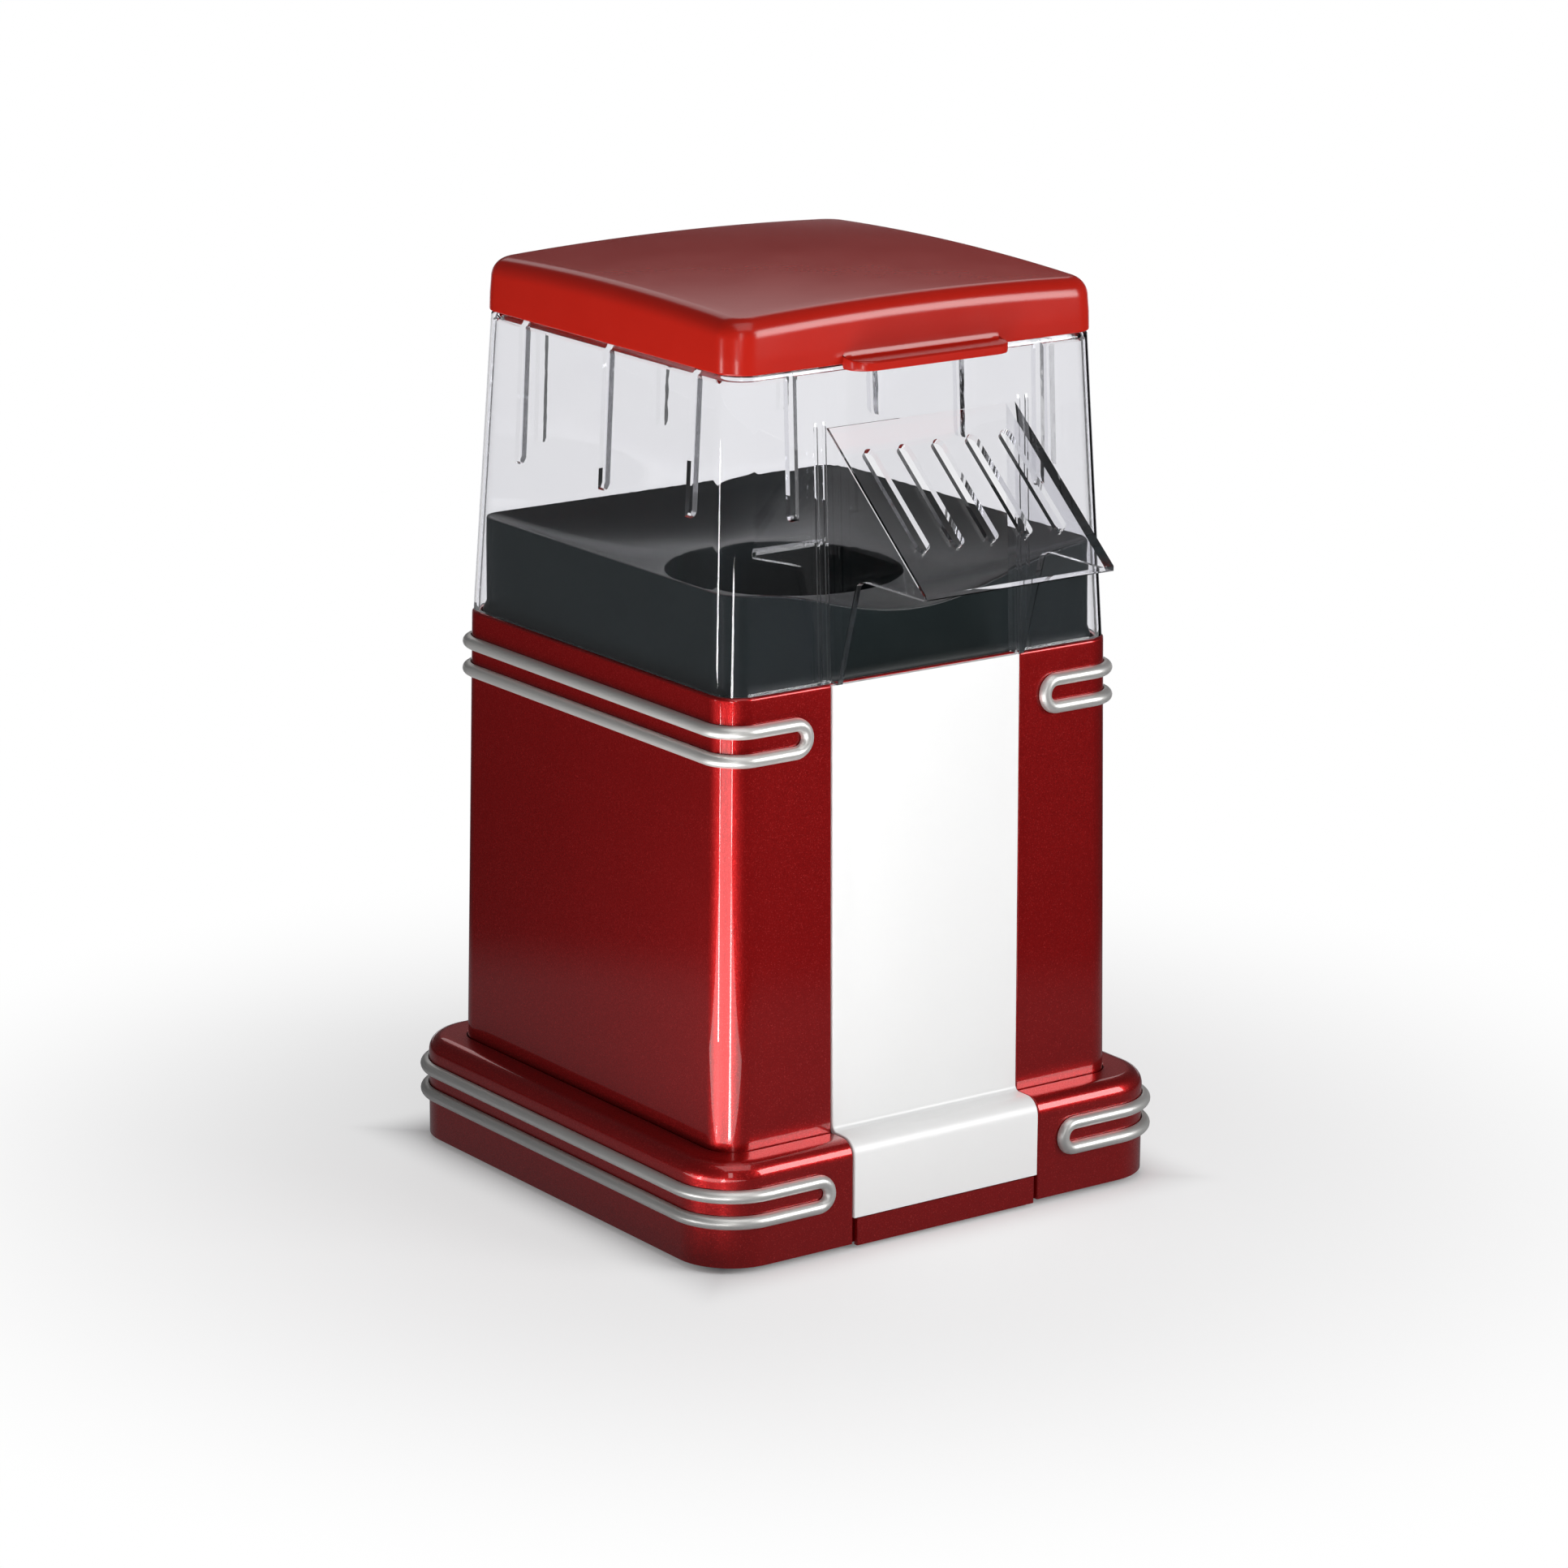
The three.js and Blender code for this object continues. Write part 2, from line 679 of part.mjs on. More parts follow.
function addBase() {
  const plateHalf = plinthHalf - plinthWall - liftFit;
  const outline = squareOutline(plateHalf, plinthCorner - plinthWall - liftFit);
  const plate = skin([ring(outline, plateBottom), ring(outline, plateTop)]);
  const screwSpots = corners(plinthHalf - baseScrewInset);
  const footSpots = corners(plinthHalf - footInset);
  const postTop = bodyBottom - fit;
  const postMiddle = bodyHalf(bodyBottom) - bodyWall / 2;
  const posts = [];
  for (const side of [-1, 1]) {
    for (const spread of [-postSpread, postSpread]) {
      const [inner, outer] = [side * postMiddle - postDepth / 2, side * postMiddle + postDepth / 2];
      const [start, end] = [spread - postWidth / 2, spread + postWidth / 2];
      posts.push(block([inner, start, plateTop - bite], [outer, end, postTop]));
      posts.push(block([start, inner, plateTop - bite], [end, outer, postTop]));
    }
  }
  const vents = Array.from({ length: ventCount }, (_, index) => {
    const x = (index - (ventCount - 1) / 2) * ventPitch;
    return block(
      [x - ventWidth / 2, -ventLength / 2, plateBottom - past],
      [x + ventWidth / 2, ventLength / 2, plateTop + past],
    );
  });
  const hole = (radius) => (spot) => (
    cylinder(radius, plateBottom - past, plateTop + past, spot, smallSides));
  const holes = [
    ...screwSpots.map(hole(baseScrewShank + screwClear)),
    ...footSpots.map(hole(footNeck + fit)),
  ];
  add('base_plate', cut(join(plate, ...posts), ...vents, ...holes), greyPlastic);

  const foot = lathe([
    [0, 0], [footRadius - footRound, 0], [footRadius, footRound],
    [footRadius, plateBottom - fit], [footNeck, plateBottom - fit], [footNeck, plateTop + fit],
    [footBulb, plateTop + fit], [footNeck, plateTop + footBulbHeight],
    [0, plateTop + footBulbHeight],
  ]);
  const fixing = screw(baseScrewHead, baseScrewShank, baseScrewTip - plateBottom);
  footSpots.forEach(([x, y], index) => add(`foot_${index + 1}`, foot, rubber, [x, y, 0]));
  screwSpots.forEach(([x, y], index) => (
    add(`base_screw_${index + 1}`, fixing, zincSteel, [x, y, plateBottom - fit])));
}

/** Height of the cover's rim: level, with a smooth dip in the front side. */
function rimHeight(x, y, half) {
  const inFront = y < -half + coverCorner / 2;
  const dip = inFront ? (1 + Math.cos((Math.PI * x) / half)) / 2 : 0;
  return bodyTop + mix(coverRimHeight, coverDipHeight, dip);
}

function addCover() {
  const sides = coverSideSteps;
  const rimTop = bodyTop + coverRimHeight;
  const skirtHalf = bodyHalfTop - bodyWall - slideFit;
  const rimHalf = hoodInside(rimTop) - slideFit;
  const landHalf = rimHalf - coverRim;
  const skirt = squareOutline(skirtHalf, coverCorner, sides);
  const skirtInside = squareOutline(skirtHalf - coverWall, coverCorner - coverWall, sides);
  const rim = squareOutline(rimHalf, coverCorner, sides);
  const land = squareOutline(landHalf, coverCorner - coverRim, sides);
  const hole = circleOutline(throatRadius, sides);
  const holeBack = circleOutline(throatRadius + throatWall, sides);
  const holeZ = bodyTop + coverHoleHeight;
  const heightAt = (x, y) => rimHeight(x, y, rimHalf);
  const funnel = (share, bore, drop) => land.map((edge, index) => {
    const plan = bore[index].clone().lerp(edge, share);
    const top = rimHeight(edge.x, edge.y, landHalf);
    const height = mix(holeZ, top, share ** funnelCurve) - drop;
    return new THREE.Vector3(plan.x, plan.y, height);
  });
  const shares = [0.8, 0.6, 0.4, 0.2]; // stations down the funnel, from its rim to its hole
  const shell = skin([
    ring(skirt, coverBottom),
    ring(skirt, bodyTop),
    ring(rim, heightAt),
    ring(land, (x, y) => rimHeight(x, y, landHalf)),
    ...shares.map((share) => funnel(share, hole, 0)),
    ring(hole, holeZ),
    ring(hole, throatBottom),
    ring(holeBack, throatBottom),
    ring(holeBack, holeZ - coverWall),
    ...shares.slice().reverse().map((share) => funnel(share, holeBack, coverWall)),
    ring(skirtInside, bodyTop + 2 * coverWall),
    ring(skirtInside, coverBottom),
  ], true);
  const bosses = [
    ...corners(coverScrewSpot).map((spot) => (
      cylinder(coverBossRadius, coverBottom, rimTop - 2 * coverWall, spot, smallSides))),
    ...ductScrewAngles.map((angle) => (
      cylinder(bossRadius, ductTop + fit, holeZ + bite, onCircle(ductScrewCircle, angle), smallSides))),
  ];
  const pilots = [
    ...corners(coverScrewSpot).map((spot) => (
      cylinder(coverScrewShank + screwClear, coverBottom - past,
        coverBottom + coverScrewLength, spot, smallSides))),
    ...ductScrewAngles.map((angle) => (
      cylinder(ductScrewShank + screwClear, ductTop, ductTop + ductScrewLength,
        onCircle(ductScrewCircle, angle), smallSides))),
  ];
  add('chamber_cover', cut(join(shell, ...bosses), ...pilots), glossBlack);

  const fixing = screw(coverScrewHead, coverScrewShank, coverScrewLength);
  const seat = gussetTop - gussetThickness - fit;
  corners(coverScrewSpot).forEach(([x, y], index) => (
    add(`cover_screw_${index + 1}`, fixing, zincSteel, [x, y, seat])));
}

function addChamber() {
  const sheet = chamberSheet;
  const bore = throatRadius;
  const edge = throatRadius + chamberFlange;
  const floor = chamberFloor;
  const bend = bore - chamberRound;
  const floorLine = (lift) => [
    [0, floor + coneRise + lift], [coneTopRadius, floor + coneRise - sheet + lift],
    [coneFootRadius, floor + lift],
  ];
  const cup = lathe([
    ...floorLine(sheet), [bend, floor + sheet], [bore, floor + sheet + chamberRound],
    [bore, chamberTop], [edge, chamberTop], [edge, chamberTop - sheet],
    [bore + sheet, chamberTop - sheet], [bore + sheet, floor + chamberRound],
    [bend + sheet / 2, floor], ...floorLine(0).reverse(),
  ], largeSides);
  const slots = Array.from({ length: chamberSlots }, (_, index) => {
    const turn = (index / chamberSlots) * 2 * Math.PI;
    return new THREE.BoxGeometry(3 * sheet, chamberSlotWidth, chamberSlotLength)
      .rotateX(radians(chamberSlotTilt))
      .translate(bore + sheet / 2, 0, floor + chamberSlotHeight)
      .rotateZ(turn);
  });
  add('popping_chamber', cut(cup, ...slots), aluminium);

  const seal = turnedRing([
    [bore + bite, sealTop - sealThickness], [edge, sealTop - sealThickness],
    [edge, sealTop], [bore + bite, sealTop],
  ], largeSides);
  add('chamber_seal', seal, silicone);
}

function addDuct() {
  const low = ductTop - ductFlangeThickness;
  const wall = turnedRing([
    [ductRadius, ductBottom], [ductOutside, ductBottom], [ductOutside, low], [ductFlange, low],
    [ductFlange, ductTop], [ductRadius, ductTop],
  ], largeSides);
  const spots = ductScrewAngles.map((angle) => onCircle(ductScrewCircle, angle));
  const ears = spots.map((spot) => cylinder(ductEar, low, ductTop, spot, smallSides));
  const holes = spots.map((spot) => (
    cylinder(ductScrewShank + screwClear, low - past, ductTop + past, spot, smallSides)));
  const bore = cylinder(ductRadius, low - past, ductTop + past, [0, 0], largeSides);
  add('heater_duct', cut(join(wall, ...ears), bore, ...holes), aluminium);

  const fixing = screw(ductScrewHead, ductScrewShank, ductScrewLength);
  spots.forEach(([x, y], index) => (
    add(`duct_screw_${index + 1}`, fixing, zincSteel, [x, y, low - fit])));

  const thermostat = cylinder(thermostatRadius, 0, thermostatDepth)
    .rotateY(-quarterTurn)
    .translate(-ductOutside - fit, 0, thermostatHeight);
  add('thermostat', thermostat, bakelite);
  const [fuseX, fuseY] = onCircle(ductOutside + fit + fuseRadius, fuseAngle);
  const fuse = cylinder(fuseRadius, -fuseLength / 2, fuseLength / 2, [0, 0], smallSides);
  add('thermal_fuse', fuse, silicone, [fuseX, fuseY, thermostatHeight]);
}

/** Heater wire wound in turns about +Z. */
class Helix extends THREE.Curve {
  constructor(radius, bottom, top, turns) {
    super();
    Object.assign(this, { radius, bottom, top, turns });
  }

  getPoint(share, target = new THREE.Vector3()) {
    const angle = share * this.turns * 2 * Math.PI;
    const height = mix(this.bottom, this.top, share);
    return target.set(this.radius * Math.cos(angle), this.radius * Math.sin(angle), height);
  }
}

function addHeater() {
  const footTop = spigotTop + fit + boardFoot;
  const top = chamberFloor - heaterClear;
  const middle = (footTop + top) / 2;
  const half = boardThickness / 2;
  const footReach = ductRadius - boardFootClear;
  const board = join(
    block([-boardHalf, -half, footTop - bite], [boardHalf, half, top]),
    block([-footReach, -half, spigotTop + fit], [footReach, half, footTop]),
  );
  const slotHalf = half + fit;
  const above = block([-slotHalf, -past, middle - fit], [slotHalf, past, top + past]);
  const below = block([-slotHalf, -past, spigotTop], [slotHalf, past, middle + fit]);
  add('mica_board_a', cut(board, above), mica);
  add('mica_board_b', cut(board, below), mica, [0, 0, 0], quarterTurn);

  const coilRadius = boardHalf + coilClear + coilWire;
  const coil = new Helix(coilRadius, footTop + coilFoot, top - coilHead, coilTurns);
  add('heater_coil', tube(coil, coilWire, coilTurns * roundSides), heaterWire);
}

function addFan() {
  const outside = ductOutside;
  const spigot = ductRadius - fit;
  const wall = turnedRing([
    [fanBore, fanBottom], [outside, fanBottom], [outside, fanTop], [spigot, fanTop],
    [spigot, spigotTop], [fanBore, spigotTop],
  ], largeSides);
  const plateTopZ = fanBottom + fanPlate;
  const spoke = block(
    [fanPlateRadius - past, -spokeWidth / 2, fanBottom],
    [fanBore + past, spokeWidth / 2, plateTopZ],
  );
  const spokes = [0, 1, 2, 3].map((index) => spoke.clone().rotateZ((index + 0.5) * quarterTurn));
  const plate = cylinder(fanPlateRadius, fanBottom, plateTopZ);
  const holes = [
    cylinder(canBoss + 2 * fit, fanBottom - past, plateTopZ + past),
    ...[-1, 1].map((side) => cylinder(motorScrewShank + screwClear, fanBottom - past,
      plateTopZ + past, [side * motorScrewSpot, 0], smallSides)),
  ];
  add('fan_housing', cut(join(wall, plate, ...spokes), ...holes), greyPlastic);

  const hubBottom = plateTopZ + fit + screwHeadHeight + slideFit;
  const hubTop = fanTop - fit - bladeThickness;
  const tip = fanBore - fanClear - bladeThickness;
  const bladeHalf = (hubTop - hubBottom) / 2 - bladeThickness;
  const middle = (hubTop + hubBottom) / 2;
  const blades = Array.from({ length: bladeCount }, (_, index) => (
    block([hubRadius - past, -bladeThickness / 2, -bladeHalf], [tip, bladeThickness / 2, bladeHalf])
      .rotateX(radians(bladeTilt))
      .translate(0, 0, middle)
      .rotateZ((index / bladeCount) * 2 * Math.PI)));
  const hub = cylinder(hubRadius, hubBottom, hubTop);
  const bore = cylinder(shaftRadius + fit, hubBottom - past, hubTop + past, [0, 0], smallSides);
  add('impeller', cut(join(hub, ...blades), bore), greyPlastic);
}

function addMotor() {
  const canTop = fanBottom - fit;
  const bossTop = canTop + canBossHeight;
  const bushBore = bushRadius + fit;
  const screwSides = [-motorScrewSpot, motorScrewSpot];
  const can = turnedRing([
    [canRadius - canSheet, canBottom], [canRadius, canBottom], [canRadius, canTop],
    [canBoss, canTop], [canBoss, bossTop], [bushBore, bossTop], [bushBore, canTop - canSheet],
    [canRadius - canSheet, canTop - canSheet],
  ]);
  const taps = screwSides.map((x) => cylinder(motorScrewShank + screwClear,
    canTop - canSheet - past, canTop + past, [x, 0], smallSides));
  add('motor_can', cut(can, ...taps), zincSteel);

  const capTop = canBottom - fit;
  const capBottom = capTop - capHeight;
  const pocket = capBottom + capFloor;
  const brushFoot = capTop + fit;
  const holder = block(
    [brushReach + fit, -brushSize / 2, capTop - bite],
    [brushReach + fit + brushHolder, brushSize / 2, brushFoot + brushSize],
  );
  const terminal = cylinder(terminalRadius, rectifierTop + fit, capBottom + bite,
    [0, terminalSpread], smallSides);
  const cap = lathe([
    [0, capBottom], [canRadius, capBottom], [canRadius, capTop], [bushBore, capTop],
    [bushBore, pocket], [0, pocket],
  ]);
  const fittings = [0, Math.PI].flatMap((turn) => (
    [holder, terminal].map((shape) => shape.clone().rotateZ(turn))));
  add('motor_end_cap', join(cap, ...fittings), bakelite);

  const bush = (bottom, top) => turnedRing([
    [shaftRadius + bushClear, bottom], [bushRadius, bottom], [bushRadius, top],
    [shaftRadius + bushClear, top],
  ]);
  add('bushing_lower', bush(pocket + fit, capTop - fit), sinteredBronze);
  add('bushing_upper', bush(canTop - canSheet - bushDrop, bossTop - fit), sinteredBronze);

  add('motor_shaft', cylinder(shaftRadius, pocket + motorGap, fanTop - motorGap), zincSteel);
  const bore = cylinder(shaftRadius + fit, pocket, canTop, [0, 0], smallSides);
  const commutatorBottom = capTop + motorGap;
  const commutatorTop = commutatorBottom + commutatorHeight;
  add('commutator', cut(cylinder(commutatorRadius, commutatorBottom, commutatorTop), bore), copper);
  const armatureBottom = commutatorTop + motorGap;
  const armatureTop = canTop - canSheet - armatureTopGap;
  const slot = block(
    [armatureRadius - armatureSlotDepth, -armatureSlotWidth / 2, armatureBottom - past],
    [armatureRadius + past, armatureSlotWidth / 2, armatureTop + past],
  );
  const slots = [0, 1, 2].map((index) => slot.clone().rotateZ((index / 3) * 2 * Math.PI));
  const core = cylinder(armatureRadius, armatureBottom, armatureTop);
  add('armature', cut(core, bore, ...slots), zincSteel);

  const [start, end] = [radians(-magnetHalfAngle), radians(magnetHalfAngle)];
  const magnetShape = new THREE.Shape()
    .absarc(0, 0, magnetOuter, start, end, false)
    .absarc(0, 0, magnetInner, end, start, true);
  const magnet = new THREE.ExtrudeGeometry(magnetShape, {
    depth: armatureTop - armatureBottom + 2 * magnetOverhang,
    bevelEnabled: false,
    curveSegments: smallSides,
  });
  const brush = block([commutatorRadius + fit, -brushSize / 2, brushFoot],
    [brushReach, brushSize / 2, brushFoot + brushSize]);
  const fixing = toGeometry(screw(motorScrewHead, motorScrewShank, motorScrewLength))
    .rotateX(Math.PI);
  screwSides.forEach((x, index) => {
    const half = index * Math.PI;
    add(`magnet_${index + 1}`, magnet, ferrite, [0, 0, armatureBottom - magnetOverhang], half);
    add(`brush_${index + 1}`, brush, ferrite, [0, 0, 0], half);
    add(`motor_screw_${index + 1}`, fixing, zincSteel, [x, 0, fanBottom + fanPlate + fit]);
  });
}

function addRectifier() {
  const half = rectifierHalf;
  const board = block([-half, -half, rectifierBottom], [half, half, rectifierTop]);
  add('rectifier_board', board, circuitBoard);
  const diode = cylinder(diodeRadius, -diodeLength / 2, diodeLength / 2, [0, 0], smallSides)
    .rotateX(quarterTurn);
  diodeSpots.forEach((x, index) => (
    add(`diode_${index + 1}`, diode, bakelite, [x, 0, rectifierTop + fit + diodeRadius])));
}

/** Half width of the hood's outside at a height. */
function hoodHalf(z) {
  return hoodHalfBottom - (hoodTaper * (z - hoodBase)) / hoodHeight;
}

/** Half width of the hood's inside at a height. */
function hoodInside(z) {
  return hoodHalf(z) - hoodWall;
}

/** The hood's closed outer form, grown by a clearance. */
function hoodForm(grow, bottom, shoulder, top, neck) {
  const at = (half, corner, z) => ring(squareOutline(half, corner), z);
  return skin([
    at(hoodHalf(bottom) + grow, hoodCorner + grow, bottom),
    at(hoodHalf(shoulder) + grow, hoodCorner + grow, shoulder),
    at(neck, hoodCorner + grow - 1, shoulder),
    at(neck, hoodCorner + grow - 1, top),
  ]);
}

function addHood() {
  const neckTop = hoodShoulder + neckHeight;
  const hoodCeiling = hoodShoulder - hoodWall;
  const outer = hoodForm(0, hoodBase, hoodShoulder, neckTop, neckHalf);
  const inner = hoodForm(-hoodWall, hoodBase - past, hoodCeiling, neckTop + past, neckHalf - neckWall);

  const topZ = hoodBase + chuteTopHeight;
  const topY = -hoodHalf(topZ);
  const lipZ = hoodBase + chuteLipHeight;
  const lipBottom = lipZ - chuteLipDepth;
  const slope = new THREE.Vector2(-chuteLip - topY, lipZ - topZ);
  const length = slope.length();
  const along = slope.clone().normalize();
  const heel = -hoodHalfBottom - cheekHeel;
  const foot = -hoodHalfBottom - cheekFoot;
  const deep = topY + 2 * hoodWall;
  const chute = prismAcross([
    [deep, topZ], [topY, topZ], [-chuteLip, lipZ], [-chuteLip, lipBottom], [heel, lipBottom],
    [foot, hoodBase], [deep, hoodBase],
  ], -chuteHalfWidth, chuteHalfWidth);
  const under = hoodWall / Math.abs(along.x);
  const mouthHalf = chuteHalfWidth - hoodWall;
  const fall = along.y / along.x;
  const back = topY + 4 * hoodWall;
  const backZ = topZ - under + fall * (back - topY);
  const frontZ = lipZ - under - fall * past;
  const mouth = prismAcross([
    [back, backZ], [-chuteLip - past, frontZ], [-chuteLip - past, hoodBase - past],
    [back, hoodBase - past],
  ], -mouthHalf, mouthHalf);

  const slotShape = new THREE.Shape()
    .absarc(0, slotStart * length, slotWidth / 2, Math.PI, 2 * Math.PI, false)
    .absarc(0, slotEnd * length, slotWidth / 2, 0, Math.PI, false);
  const slot = new THREE.ExtrudeGeometry(slotShape, {
    depth: 4 * hoodWall, bevelEnabled: false, curveSegments: tubeSides,
  });
  const downPanel = new THREE.Vector3(0, along.x, along.y);
  const outOfPanel = new THREE.Vector3().crossVectors(axisX, downPanel);
  slot.translate(0, 0, -2 * hoodWall)
    .applyMatrix4(new THREE.Matrix4().makeBasis(axisX, downPanel, outOfPanel))
    .translate(0, topY, topZ);
  const slots = Array.from({ length: slotCount }, (_, index) => (
    slot.clone().translate((index - (slotCount - 1) / 2) * slotPitch, 0, 0)));

  const ribBottom = hoodCeiling - ribLength;
  const ribs = [];
  for (let side = 0; side < 4; side += 1) {
    const turn = side * quarterTurn;
    const spots = side === 3 ? [-ribSpread, ribSpread] : [-ribSpread, 0, ribSpread];
    for (const spot of spots) {
      const rib = prismAcross([
        [-hoodInside(ribBottom) - bite, ribBottom], [-hoodInside(hoodCeiling) - bite, hoodCeiling + bite],
        [-hoodInside(hoodCeiling) + ribDepth, hoodCeiling + bite],
        [-hoodInside(ribBottom) + ribDepth, ribBottom],
      ], spot - ribWidth / 2, spot + ribWidth / 2);
      ribs.push(rib.rotateZ(turn + quarterTurn));
    }
  }
  const shell = cut(cut(join(outer, chute), inner), mouth, ...slots);
  add('hood', join(shell, ...ribs), clearPlastic);
}

function addLid() {
  const sides = lidSideSteps;
  const apex = lidBase + lidHeight;
  const reach = 2 * (lidHalf - lidRound) ** 2;
  const crown = (x, y) => apex - (lidCrown * (x * x + y * y)) / reach;
  const dome = (drop, round, inset) => {
    const rings = [];
    for (let step = 0; step <= lidRoundSteps; step += 1) {
      const angle = (step / lidRoundSteps) * quarterTurn;
      const pull = round * (1 - Math.cos(angle));
      const outline = squareOutline(lidHalf - lidDraft - inset - pull, lidCorner - inset - pull, sides);
      const fall = drop + round * (1 - Math.sin(angle));
      rings.push(ring(outline, (x, y) => crown(x, y) - fall));
    }
    for (const share of [0.6, 0.2]) { // the crown's last rings, as shares of its width
      const half = (lidHalf - lidDraft - inset - round) * share;
      rings.push(ring(squareOutline(half, (lidCorner - inset - round) * share, sides),
        (x, y) => crown(x, y) - drop));
    }
    return rings;
  };
  const outside = [ring(squareOutline(lidHalf, lidCorner, sides), lidBase), ...dome(0, lidRound, 0)];
  const inside = [
    ring(squareOutline(lidHalf - lidWall, lidCorner - lidWall, sides), lidBase),
    ...dome(lidWall, lidRound - lidWall, lidWall),
  ];
  const shell = skin([...outside.reverse(), ...inside]);

  const tabTop = lidBase - tabDrop + tabThickness;
  const tabFront = -lidHalf - tabReach;
  const tabRoot = -lidHalf + lidWall / 2;
  const plan = new THREE.Shape([
    new THREE.Vector2(-tabHalfWidth, tabRoot),
    new THREE.Vector2(-tabHalfWidth + tabChamfer, tabFront),
    new THREE.Vector2(tabHalfWidth - tabChamfer, tabFront),
    new THREE.Vector2(tabHalfWidth, tabRoot),
  ]);
  const tab = new THREE.ExtrudeGeometry(plan, { depth: tabThickness, bevelEnabled: false })
    .translate(0, 0, tabTop - tabThickness);
  const keepOut = hoodForm(slideFit, hoodBase, lidBase, lidBase + past, neckHalf);
  add('lid', join(shell, cut(tab, keepOut)), glossRed);
}

function addSwitch() {
  const boxAt = (halfWidth, y0, y1, halfHeight) => block(
    [-halfWidth, y0, switchHeight - halfHeight],
    [halfWidth, y1, switchHeight + halfHeight],
  );
  const pivot = [0, switchFace - rockerPivotDepth, switchHeight];
  const axle = (radius, halfLength) => cylinder(radius, -halfLength, halfLength, [0, 0], smallSides)
    .rotateY(quarterTurn);
  const pinHalf = switchHalfWidth - past;
  const [bladeWidth, bladeLength, bladeHeight] = bladeSize;
  const blade = new THREE.BoxGeometry(bladeWidth, bladeLength, bladeHeight)
    .translate(0, switchRear + bite - bladeLength / 2, switchHeight);
  const frame = cut(
    join(
      boxAt(bezelHalfWidth, switchSeat, switchFace, bezelHalfHeight),
      boxAt(switchHalfWidth, switchRear, switchFace - bite, switchHalfHeight),
      blade.clone().translate(-bladeSpread, 0, 0),
      blade.clone().translate(bladeSpread, 0, 0),
    ),
    boxAt(switchOpeningHalfWidth, switchRear + switchBack, switchFace + past,
      switchOpeningHalfHeight),
    axle(rockerPin + rockerPinClear, pinHalf + fit).translate(...pivot),
  );
  add('switch_frame', frame, bakelite);

  const upper = [[2.8, 0], [3.2, 3.5], [4.6, 7.4], [-1.5, 7], [-4.5, 2]];
  const lower = upper.slice(1).reverse().map(([y, z]) => [y, -z]);
  const paddle = prismAcross([...upper, ...lower], -rockerHalfWidth, rockerHalfWidth);
  const rocker = toGeometry(join(paddle, axle(rockerPin, pinHalf)));
  add('switch_rocker', rocker.rotateX(radians(rockerRestAngle)), glossRed, pivot);
}

function addGrommet() {
  const inner = -plinthWall - fit;
  const rim = grommetFlange - bite;
  const grommet = turnedRing([
    [grommetBore, inner - grommetProud], [rim - bite, inner - grommetProud], [rim, inner],
    [grommetNeck, inner], [grommetNeck, fit], [grommetFlange, fit], [rim, grommetProud],
    [grommetBore, grommetProud],
  ]).rotateX(-quarterTurn);
  add('cord_grommet', grommet, rubber, [0, plinthHalf, grommetHeight]);
}

/** Two leads from the switch: down to the rectifier, and up round the duct to the thermostat. */
function addWires() {
  const start = switchRear + bite - bladeSize[1] - fit - wireRadius;
  const wire = (points) => {
    const route = new THREE.CatmullRomCurve3(points.map((point) => new THREE.Vector3(...point)));
    return tube(route, wireRadius, wireSteps);
  };
  add('wire_motor', wire([
    [-bladeSpread, start, switchHeight], [-bladeSpread, start - 4, switchHeight - 14],
    [-bladeSpread, ductOutside + 5.4, 42], [-bladeSpread, canRadius + 16, 24],
    [-bladeSpread, canRadius + 3, 15.5],
    [-bladeSpread, rectifierHalf - 1.5, rectifierTop + fit + wireRadius],
  ]), rubber);
  const thermostatFace = ductOutside + thermostatDepth + 2 * fit + wireRadius;
  add('wire_heater', wire([
    [bladeSpread, start, switchHeight], [1, start - 3, switchHeight + 14],
    [...onCircle(ductOutside + 9.5, 120.6), thermostatHeight - 12],
    [...onCircle(ductOutside + 13, 151.6), thermostatHeight - 5],
    [...onCircle(ductOutside + 13, 171.6), thermostatHeight - 1],
    [-thermostatFace, 1, thermostatHeight],
  ]), rubber);
}

addPlinth();
addBase();
addBodyShell();
addFrontPanel();
addTrims();
addCover();
addChamber();
addDuct();
addHeater();
addFan();
addMotor();
addRectifier();
addHood();
addLid();
addSwitch();
addGrommet();
addWires();

// The plan is centred on the whole machine, chute included.
machine.position.y = (chuteLip - (plinthHalf + fit + trimProud)) / 2;

export default machine;
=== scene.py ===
# %% [markdown]
# # A hot-air popcorn maker
#
# The machine is a square red housing on a wider plinth, with a clear hood, a slotted chute and a
# loose red lid. The CAD frame already says where every part is and how it moves. Here each part
# that can be seen gets a fine surface and a finish of its own.
#
# Everything is worked out in millimetres about the machine's own upright axis, because a maker
# thinks of it that way, and turned into metres at the last moment.

import json
import math

import bmesh
import bpy
import numpy as np
from mathutils import Matrix, Vector


